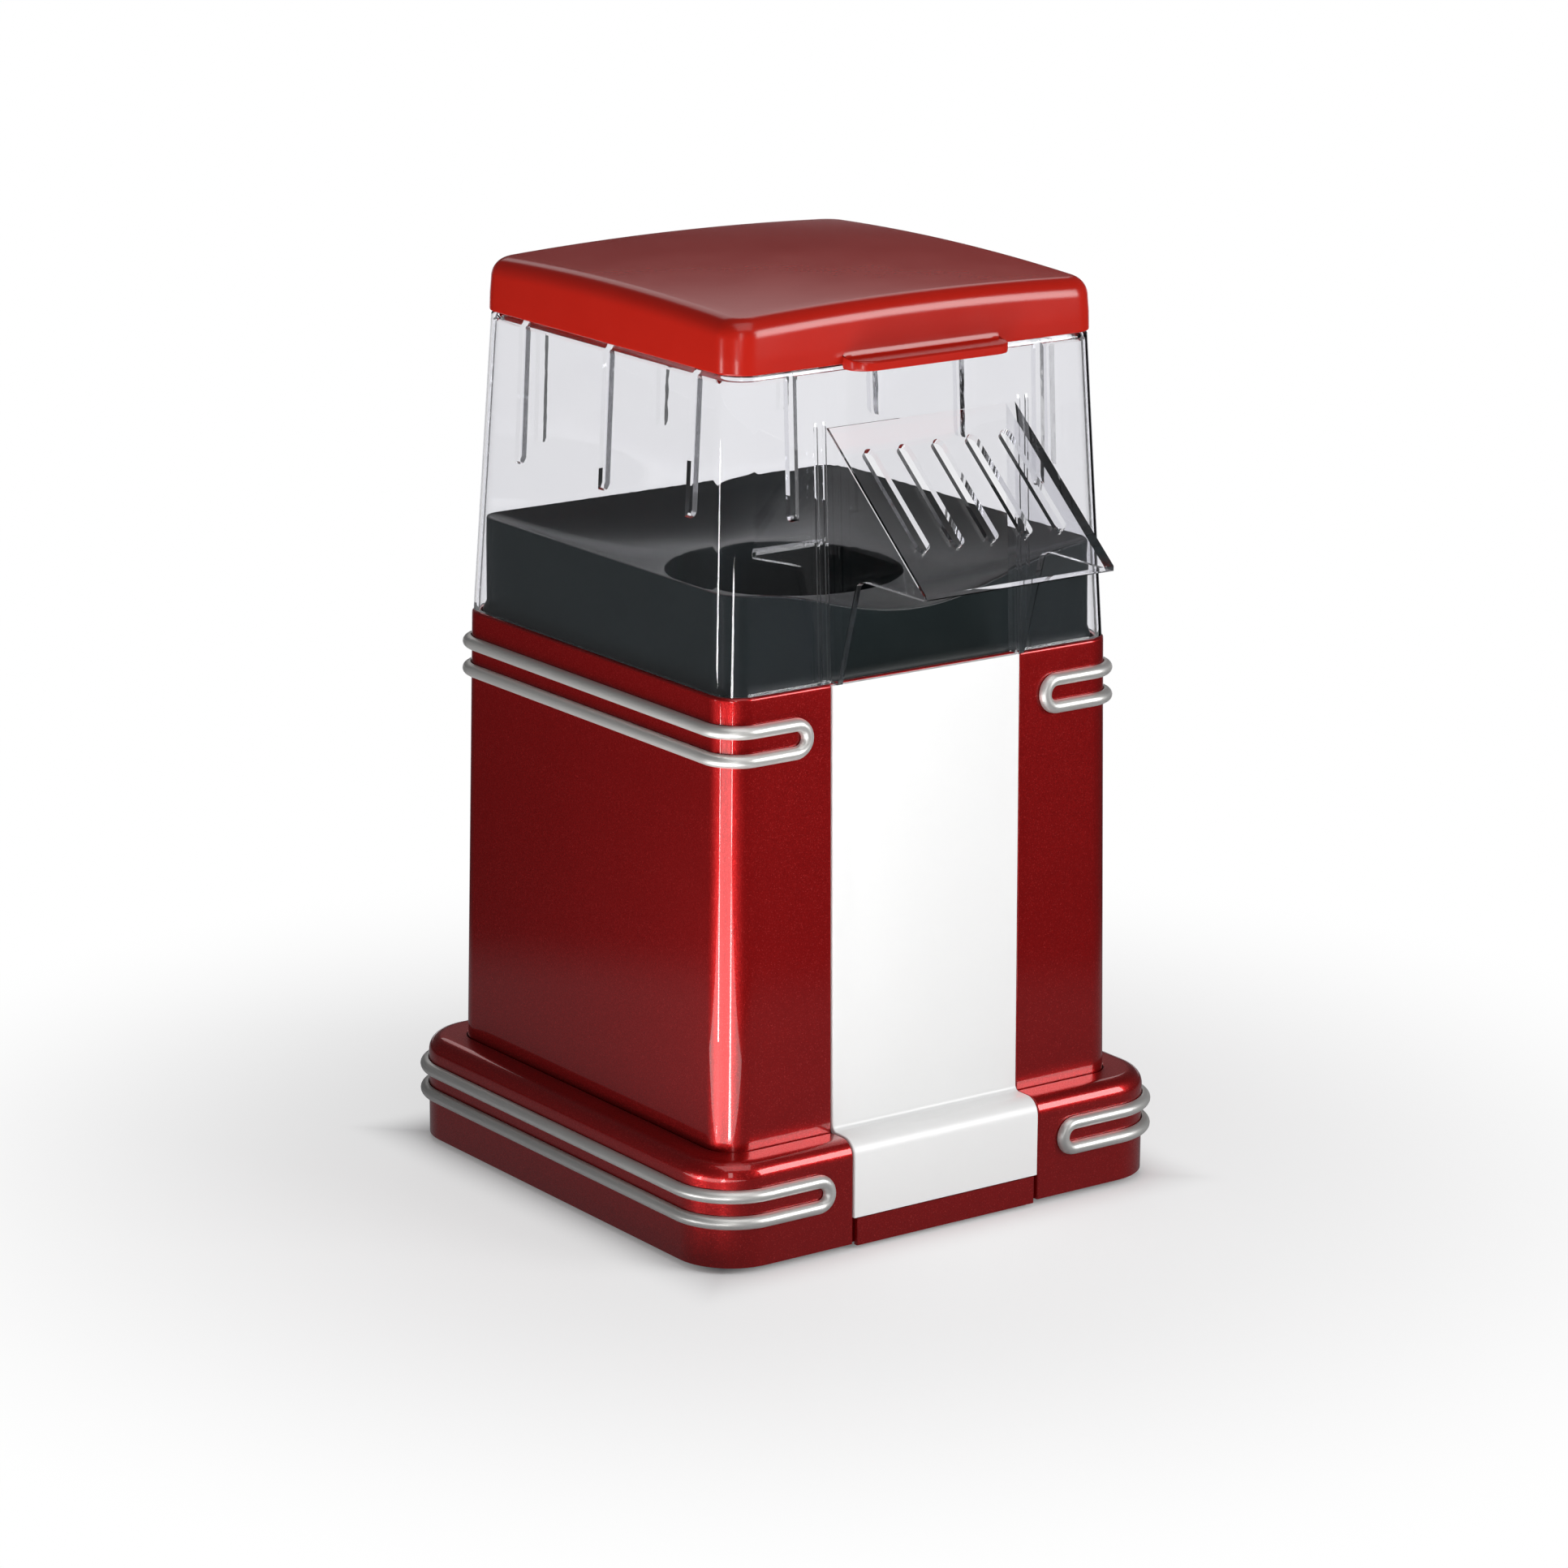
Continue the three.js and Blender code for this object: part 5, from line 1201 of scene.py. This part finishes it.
def math_node(tree, operation, *values, clamp=False):
    made = add_node(tree, "Math", operation=operation, use_clamp=clamp)
    for number, value in enumerate(values):
        if isinstance(value, bpy.types.NodeSocket):
            tree.links.new(value, made.inputs[number])
        else:
            made.inputs[number].default_value = value
    return made.outputs[0]


# %% Uneven gloss
gloss_tree, taken, given, place = new_group(
    "uneven_gloss",
    [("Roughness", 0.1), ("Amount", 0.05), ("Size", 60.0)],
    [("Roughness", "Float"), ("Mask", "Float")],
)
cloud = add_node(gloss_tree, "TexNoise", {"Vector": place, "Scale": taken["Size"], "Detail": 4})
fine = math_node(gloss_tree, "MULTIPLY", taken["Size"], 9.0)
specks = add_node(gloss_tree, "TexNoise", {"Vector": place, "Scale": fine, "Detail": 2})
both = math_node(gloss_tree, "MULTIPLY_ADD", specks.outputs["Fac"], 0.35, cloud.outputs["Fac"])
centred = math_node(gloss_tree, "SUBTRACT", both, 0.65)
spread = math_node(gloss_tree, "MULTIPLY", centred, taken["Amount"])
gloss_tree.links.new(math_node(gloss_tree, "ADD", taken["Roughness"], spread, clamp=True),
                     given["Roughness"])
gloss_tree.links.new(cloud.outputs["Fac"], given["Mask"])
print("uneven_gloss:", len(gloss_tree.nodes), "nodes")

# %% Moulded skin
skin_tree, taken, given, place = new_group(
    "moulded_skin", [("Size", 900.0), ("Height", 0.02)], [("Normal", "Vector"), ("Mask", "Float")]
)
swell = add_node(skin_tree, "TexNoise", {"Vector": place, "Scale": taken["Size"], "Detail": 2})
raised_skin = add_node(skin_tree, "Bump", {
    "Height": swell.outputs["Fac"], "Strength": taken["Height"], "Distance": 0.0005,
})
skin_tree.links.new(raised_skin.outputs["Normal"], given["Normal"])
skin_tree.links.new(swell.outputs["Fac"], given["Mask"])
print("moulded_skin:", len(skin_tree.nodes), "nodes")

# %% Metal flakes
flake_tree, taken, given, place = new_group(
    "flakes", [("Size", 2600.0), ("Tilt", 0.25)],
    [("Sparkle", "Float"), ("Shade", "Float"), ("Normal", "Vector")],
)
flake = add_node(flake_tree, "TexVoronoi", {"Vector": place, "Scale": taken["Size"]})
middle = add_node(flake_tree, "VectorMath", {0: flake.outputs["Color"], 1: (0.5, 0.5, 0.5)},
                  operation="SUBTRACT")
tilt = add_node(flake_tree, "VectorMath", {0: middle.outputs[0], "Scale": taken["Tilt"]},
                operation="SCALE")
facing = add_node(flake_tree, "NewGeometry").outputs["Normal"]
tilted = add_node(flake_tree, "VectorMath", {0: facing, 1: tilt.outputs[0]}, operation="ADD")
unit = add_node(flake_tree, "VectorMath", {0: tilted.outputs[0]}, operation="NORMALIZE")
split = add_node(flake_tree, "SeparateColor", {"Color": flake.outputs["Color"]})
bright = add_node(flake_tree, "MapRange", {
    "Value": split.outputs[0], "From Min": 0.9, "From Max": 1.0,
})
flake_tree.links.new(bright.outputs[0], given["Sparkle"])
flake_tree.links.new(split.outputs[1], given["Shade"])
flake_tree.links.new(unit.outputs[0], given["Normal"])
print("flakes:", len(flake_tree.nodes), "nodes")

# %% Drawn lines
lines_tree, taken, given, place = new_group(
    "drawn_lines", [("Fineness", 4000.0), ("Height", 0.1)],
    [("Mask", "Float"), ("Normal", "Vector")],
)
stretch = add_node(lines_tree, "Mapping", {"Vector": place, "Scale": (0.02, 0.02, 1.0)})
thread = add_node(lines_tree, "TexNoise", {
    "Vector": stretch.outputs[0], "Scale": taken["Fineness"], "Detail": 3,
})
ridge = add_node(lines_tree, "Bump", {
    "Height": thread.outputs["Fac"], "Strength": taken["Height"], "Distance": 0.0002,
})
lines_tree.links.new(thread.outputs["Fac"], given["Mask"])
lines_tree.links.new(ridge.outputs["Normal"], given["Normal"])
print("drawn_lines:", len(lines_tree.nodes), "nodes")

# %% [markdown]
# ## Finishes
#
# Each finish is one material, named after the record's slot. Colours vary a little over every
# surface, because no moulding or plating is quite even. Numbers that don't vary, such as the
# coat, sit on the shader itself.


# %% Material helpers
def place_group(tree, group, values=None):
    made = tree.nodes.new("ShaderNodeGroup")
    made.node_tree = bpy.data.node_groups[group]
    for key, value in (values or {}).items():
        made.inputs[key].default_value = value
    return made.outputs


def new_material(name, plain=None):
    """A material with its Principled shader; plain values go straight onto the shader."""
    made = bpy.data.materials.new(name)
    made.use_nodes = True
    shader = made.node_tree.nodes["Principled BSDF"]
    for key, value in (plain or {}).items():
        shader.inputs[key].default_value = value
    return made, made.node_tree, shader


def blend_colours(tree, mask, first, second):
    mixed = add_node(tree, "Mix", data_type="RGBA")
    tree.links.new(mask, mixed.inputs["Factor"])
    mixed.inputs[6].default_value = (*first, 1)
    mixed.inputs[7].default_value = (*second, 1)
    return mixed.outputs[2]


materials = {}


def moulded(name, first, second, roughness, amount, plain, skin, size=60.0):
    """Plain moulded plastic: two close colours, an uneven gloss and a faint skin."""
    made, tree, shader = new_material(name, plain)
    gloss = place_group(tree, "uneven_gloss",
                        {"Roughness": roughness, "Amount": amount, "Size": size})
    surface = place_group(tree, "moulded_skin", {"Size": skin[0], "Height": skin[1]})
    tree.links.new(blend_colours(tree, gloss["Mask"], first, second), shader.inputs["Base Color"])
    tree.links.new(gloss["Roughness"], shader.inputs["Roughness"])
    tree.links.new(surface["Normal"], shader.inputs["Normal"])
    materials[name] = made


moulded(
    "gloss_red", (0.40, 0.010, 0.004), (0.435, 0.012, 0.005), 0.22, 0.06, {"IOR": 1.5},
    skin=(260.0, 0.03),
)
moulded(
    "gloss_white", (0.80, 0.80, 0.795), (0.815, 0.815, 0.81), 0.3, 0.05, {"IOR": 1.5},
    skin=(400.0, 0.02),
)
moulded(
    "gloss_black", (0.004, 0.007, 0.0075), (0.008, 0.012, 0.0125), 0.3, 0.05, {"IOR": 1.3},
    skin=(900.0, 0.02),
)
moulded(
    "grey_plastic", (0.06, 0.063, 0.066), (0.08, 0.083, 0.086), 0.55, 0.15, {}, skin=(2500.0, 0.3)
)
moulded(
    "rubber", (0.014, 0.014, 0.015), (0.024, 0.024, 0.025), 0.75, 0.2, {}, skin=(1800.0, 0.3)
)
moulded(
    "silicone", (0.45, 0.42, 0.37), (0.52, 0.49, 0.44), 0.6, 0.15,
    {"Subsurface Weight": 0.1, "Subsurface Scale": 0.002}, skin=(1200.0, 0.15),
)
moulded(
    "bakelite", (0.014, 0.012, 0.011), (0.022, 0.019, 0.017), 0.35, 0.12, {}, skin=(1500.0, 0.12)
)
moulded(
    "switch_red", (0.42, 0.012, 0.008), (0.48, 0.02, 0.012), 0.25, 0.08, {}, skin=(900.0, 0.05)
)
moulded(
    "ferrite", (0.02, 0.019, 0.018), (0.032, 0.03, 0.028), 0.65, 0.2, {}, skin=(3000.0, 0.4)
)
moulded(
    "mica", (0.42, 0.35, 0.22), (0.58, 0.51, 0.37), 0.45, 0.3, {"Sheen Weight": 0.2},
    skin=(700.0, 0.2), size=180.0,
)
moulded(
    "circuit_board", (0.16, 0.085, 0.025), (0.24, 0.14, 0.045), 0.5, 0.15, {},
    skin=(1600.0, 0.15), size=300.0,
)
print(sorted(materials))

# %% [markdown]
# The body's red is a lacquer over metal flakes. Light goes through the clear coat, meets flakes
# that lie at slightly different tilts, and comes back deep red, with a spark here and there. So
# the base is metallic, its normal comes from the flakes, and the coat on top keeps the smooth
# normal of the moulding.

# %% Pearl red
pearl, tree, shader = new_material("pearl_red", {
    "Metallic": 0.8, "Coat Weight": 1.0, "Coat Roughness": 0.05, "Coat IOR": 1.5,
})
flecks = place_group(tree, "flakes", {"Size": 4200.0, "Tilt": 0.12})
gloss = place_group(tree, "uneven_gloss", {"Roughness": 0.35, "Amount": 0.04, "Size": 40.0})
deep_red = blend_colours(tree, flecks["Shade"], (0.33, 0.003, 0.004), (0.43, 0.006, 0.006))
spark = add_node(tree, "Mix", data_type="RGBA")
tree.links.new(flecks["Sparkle"], spark.inputs["Factor"])
tree.links.new(deep_red, spark.inputs[6])
spark.inputs[7].default_value = (0.6, 0.03, 0.03, 1)
tree.links.new(spark.outputs[2], shader.inputs["Base Color"])
tree.links.new(gloss["Roughness"], shader.inputs["Roughness"])
tree.links.new(flecks["Normal"], shader.inputs["Normal"])
materials["pearl_red"] = pearl
print("pearl_red:", len(tree.nodes), "nodes")


# %% [markdown]
# Metal has no colour under its surface: its tone is the colour of its mirror. Each metal here is
# two close tones along faint drawn lines, with a roughness of its own.


# %% Metals
def metal(name, first, second, roughness, amount, lines, plain=None):
    """Bare or plated metal: two close tones, uneven gloss and faint drawn lines."""
    made, tree, shader = new_material(name, {"Metallic": 1.0, **(plain or {})})
    gloss = place_group(tree, "uneven_gloss",
                        {"Roughness": roughness, "Amount": amount, "Size": 90.0})
    drawn = place_group(tree, "drawn_lines", {"Fineness": lines[0], "Height": lines[1]})
    tree.links.new(blend_colours(tree, drawn["Mask"], first, second), shader.inputs["Base Color"])
    tree.links.new(gloss["Roughness"], shader.inputs["Roughness"])
    tree.links.new(drawn["Normal"], shader.inputs["Normal"])
    materials[name] = made


metal("satin_silver", (0.66, 0.65, 0.63), (0.76, 0.75, 0.73), 0.4, 0.1, (2500.0, 0.04),
      {"Metallic": 0.75})
metal("aluminium", (0.58, 0.59, 0.6), (0.7, 0.71, 0.72), 0.32, 0.15, (1500.0, 0.12))
metal("zinc_steel", (0.4, 0.41, 0.42), (0.52, 0.53, 0.55), 0.35, 0.2, (2200.0, 0.1))
metal("sintered_bronze", (0.26, 0.14, 0.05), (0.38, 0.21, 0.09), 0.55, 0.2, (4000.0, 0.3))
metal("copper", (0.48, 0.17, 0.07), (0.62, 0.25, 0.12), 0.35, 0.15, (3000.0, 0.15))
metal("heater_wire", (0.2, 0.19, 0.2), (0.34, 0.3, 0.26), 0.4, 0.2, (3000.0, 0.15))
print(sorted(materials))

# %% [markdown]
# The hood is clear plastic. It keeps a plain Transmission Weight, with a breath of lavender in
# its colour. It bends light less than solid plastic does, because strongly bent rays would turn
# every edge black, and the coat on top brings the mirror of a polished surface back. Rays from
# the lamps would stop at the glass and leave the inside in the dark, since glass only passes them
# by bent paths that are hard to find. So for shadow rays alone the glass steps aside.

# %% Clear plastic
clear, tree, shader = new_material("clear_plastic", {
    "Metallic": 0.0, "Transmission Weight": 1.0, "IOR": 1.16,
    "Coat Weight": 1.0, "Coat Roughness": 0.02, "Coat IOR": 1.5,
})
gloss = place_group(tree, "uneven_gloss", {"Roughness": 0.015, "Amount": 0.03, "Size": 50.0})
surface = place_group(tree, "moulded_skin", {"Size": 120.0, "Height": 0.06})
tree.links.new(blend_colours(tree, gloss["Mask"], (0.95, 0.95, 0.975), (0.975, 0.975, 0.99)),
               shader.inputs["Base Color"])
tree.links.new(gloss["Roughness"], shader.inputs["Roughness"])
tree.links.new(surface["Normal"], shader.inputs["Normal"])
passing = add_node(tree, "BsdfTransparent", {"Color": (0.93, 0.93, 0.96, 1)})
lamp_ray = add_node(tree, "LightPath").outputs["Is Shadow Ray"]
chosen = add_node(tree, "MixShader", {0: lamp_ray, 1: shader.outputs[0], 2: passing.outputs[0]})
tree.links.new(chosen.outputs[0], tree.nodes["Material Output"].inputs["Surface"])
materials["clear_plastic"] = clear
print("clear_plastic:", len(tree.nodes), "nodes")

# %% [markdown]
# The record names a slot for every node. The new pieces take their slot's material, and so do the
# CAD nodes that stay in the scene, such as the screws, the fan and the motor.

# %% Giving every piece and node its finish
slots = {row["node"]: row["material_slot"] for row in frame["record"]["subparts"]}
for name, slot in pieces.items():
    bpy.data.objects[name].data.materials.append(materials[slot])
carried_over = 0
for name, node in frame["nodes"].items():
    for holder in node.material_slots:
        holder.material = materials[slots[name]]
    if not node.hide_render:
        carried_over += 1
        if not node.material_slots:
            node.data.materials.append(materials[slots[name]])
print(len(pieces), "new pieces;", carried_over, "CAD nodes carried over")

# %% [markdown]
# ## Studio
#
# A pale floor, a bright surround, a few large soft lamps, and narrow ones that lie on the floor.
# Gloss shows its surroundings more than its own colour, so the sides of the machine are shaped by
# what they face. Floor and surround therefore look bright only where they are seen straight on.
# To a mirrored ray they are dim, which keeps the flanks deep red, apart from the floor behind the
# machine, which lights the surfaces that lie flat. The lamps on the floor draw the bright lines
# down the rounded corners.


# %% Floor and surround
THROUGH_GLASS = 0.15  # how bright the backdrop is to a mirrored ray that has crossed the hood
BACK_RIGHT = (0.583, 0.812, 0)  # points away from the camera, along the floor
FLOOR_HALF = 30.0


def seen_plainly(tree, path_kind):
    """How much a ray sees the bright backdrop: 1 if nothing has reflected or scattered it, and
    THROUGH_GLASS if it has also crossed clear plastic, whose edges would else look black."""
    bounced = math_node(tree, "ADD", path_kind["Diffuse Depth"], path_kind["Glossy Depth"])
    plain = math_node(tree, "SUBTRACT", 1.0, bounced, clamp=True)
    passed = math_node(tree, "GREATER_THAN", path_kind["Transmission Depth"], 0.5)
    shared = math_node(tree, "MULTIPLY", passed, THROUGH_GLASS)
    return math_node(tree, "MAXIMUM", plain, shared)


floor_mesh = bpy.data.meshes.new("floor")
corners = [(FLOOR_HALF * x, FLOOR_HALF * y, 0) for x, y in ((-1, -1), (1, -1), (1, 1), (-1, 1))]
floor_mesh.from_pydata(corners, [], [(0, 1, 2, 3)])
floor = new_object("floor", floor_mesh)
floor_finish, tree, shader = new_material("floor_finish", {"Roughness": 0.6})
paper = place_group(tree, "uneven_gloss", {"Roughness": 0.6, "Amount": 0.1, "Size": 3.0})
tree.links.new(blend_colours(tree, paper["Mask"], (0.86, 0.86, 0.87), (0.9, 0.9, 0.9)),
               shader.inputs["Base Color"])
place = tree.nodes.new("ShaderNodeTexCoord").outputs["Object"]
distance = add_node(tree, "VectorMath", {0: place}, operation="LENGTH").outputs["Value"]
far = add_node(tree, "MapRange", {
    "Value": distance, "From Min": 0.1, "From Max": 0.34, "To Min": 0.6,
}, interpolation_type="SMOOTHSTEP").outputs[0]
centred = add_node(tree, "VectorMath", {0: place, 1: (0, AXIS_Y, 0)}, operation="SUBTRACT")
apart = add_node(tree, "VectorMath", {0: centred.outputs[0]}, operation="ABSOLUTE")
sides = add_node(tree, "SeparateXYZ", {"Vector": apart.outputs[0]}).outputs
reach = math_node(tree, "MAXIMUM", sides["X"], sides["Y"])
outside_it = add_node(tree, "MapRange", {
    "Value": reach, "From Min": 0.07, "From Max": 0.1,
}, interpolation_type="SMOOTHSTEP").outputs[0]
far = math_node(tree, "MULTIPLY", far, outside_it)
path_kind = add_node(tree, "LightPath").outputs
direct = seen_plainly(tree, path_kind)
glow = add_node(tree, "Emission", {"Color": (1, 1, 1, 1), "Strength": 1.0})
swept = add_node(tree, "MixShader", {0: far, 1: shader.outputs[0], 2: glow.outputs[0]})
fading = add_node(tree, "MapRange", {
    "Value": distance, "From Min": 0.27, "From Max": 0.35, "To Min": 0.14, "To Max": 0.02,
}, interpolation_type="SMOOTHSTEP").outputs[0]
heading = add_node(tree, "VectorMath", {0: centred.outputs[0]}, operation="NORMALIZE")
along = add_node(tree, "VectorMath", {0: heading.outputs[0], 1: BACK_RIGHT},
                 operation="DOT_PRODUCT").outputs["Value"]
behind_it = add_node(tree, "MapRange", {
    "Value": along, "From Min": 0.8, "From Max": 0.93, "To Max": 0.9,
}, interpolation_type="SMOOTHSTEP").outputs[0]
glow_seen = math_node(tree, "MAXIMUM", fading, behind_it)
dim = add_node(tree, "Emission", {"Color": (0.95, 0.95, 1, 1), "Strength": glow_seen})
mirrored = add_node(tree, "MixShader", {
    0: path_kind["Is Glossy Ray"], 1: shader.outputs[0], 2: dim.outputs[0],
})
shown = add_node(tree, "MixShader", {0: direct, 1: mirrored.outputs[0], 2: swept.outputs[0]})
tree.links.new(shown.outputs[0], tree.nodes["Material Output"].inputs["Surface"])
floor_mesh.materials.append(floor_finish)
print("floor_finish:", len(tree.nodes), "nodes")

# %% Surround
world = bpy.data.worlds.new("surround")
bpy.context.scene.world = world
world.use_nodes = True
tree = world.node_tree
backdrop = tree.nodes["Background"]
backdrop.inputs["Color"].default_value = (1, 1, 1, 1)
backdrop.inputs["Strength"].default_value = 1.0
path_kind = add_node(tree, "LightPath").outputs
fill = add_node(tree, "MapRange", {
    "Value": path_kind["Is Glossy Ray"], "To Min": 0.13, "To Max": 0.05,
}).outputs[0]
room = add_node(tree, "Background", {"Color": (0.95, 0.97, 1, 1), "Strength": fill})
direct = seen_plainly(tree, path_kind)
both = add_node(tree, "MixShader", {0: direct, 1: room.outputs[0], 2: backdrop.outputs[0]})
tree.links.new(both.outputs[0], tree.nodes["World Output"].inputs["Surface"])
print("surround:", len(tree.nodes), "nodes")


# %% Soft lamps
LAMP_AIM = Vector((0, AXIS_Y, 0.14))


def area_lamp(name, size, power):
    light = bpy.data.lights.new(name, "AREA")
    light.shape = "RECTANGLE"
    light.size, light.size_y = size
    light.energy = power
    lamp = bpy.data.objects.new(name, light)
    bpy.context.scene.collection.objects.link(lamp)
    return lamp


def soft_lamp(name, size, azimuth, elevation, distance, power):
    """An area lamp on a sphere round the machine, facing its middle."""
    a, e = math.radians(azimuth), math.radians(elevation)
    out = Vector((math.sin(a) * math.cos(e), -math.cos(a) * math.cos(e), math.sin(e)))
    lamp = area_lamp(name, size, power)
    lamp.location = LAMP_AIM + out * distance
    lamp.rotation_mode = "QUATERNION"
    lamp.rotation_quaternion = (-out).to_track_quat("-Z", "Y")


soft_lamp("front_right", (0.9, 0.9), 34, 20, 1.8, 19.5)
soft_lamp("front_left", (0.2, 0.9), -36, 20, 1.6, 2)
soft_lamp("top", (1.2, 1.2), -20, 70, 1.6, 6)
soft_lamp("behind", (1.4, 1.0), 150, 35, 2.2, 4)
print(len(bpy.data.lights), "soft lamps")

# %% Lamps on the floor
FRONT_LEFT_CORNER = Vector((-0.062, AXIS_Y - 0.062, 0))
STRIP_LIFT = Vector((0, 0, 0.004))


def floor_strip(name, azimuth, near, far_end, width, power):
    """A thin lamp that lies on the floor and points away from the machine's front left corner.
    Upright gloss seen from above mirrors the floor, so this draws a bright line down a rounded
    corner, at the place where its face looks halfway between the lamp and the camera."""
    a = math.radians(azimuth)
    out = Vector((math.sin(a), -math.cos(a), 0))
    lamp = area_lamp(name, (width, far_end - near), power)
    lamp.location = FRONT_LEFT_CORNER + STRIP_LIFT + out * (near + far_end) / 2
    lamp.rotation_euler = (math.pi, 0, a)
    lamp.visible_camera = False
    lamp.visible_transmission = False


floor_strip("corner_glow", -68, 0.1, 0.68, 0.36, 1.8)
floor_strip("corner_line_left", -90, 0.12, 0.72, 0.02, 0.9)
floor_strip("corner_line_right", -47, 0.12, 0.72, 0.02, 0.9)
floor_strip("hood_line_left", -110, 1.1, 2.1, 0.16, 9)
floor_strip("hood_line_right", -50, 1.1, 2.1, 0.2, 12)
bpy.context.scene.view_settings.view_transform = "Standard"
bpy.context.scene.view_settings.look = "None"
print(len(bpy.data.lights), "lamps in all")
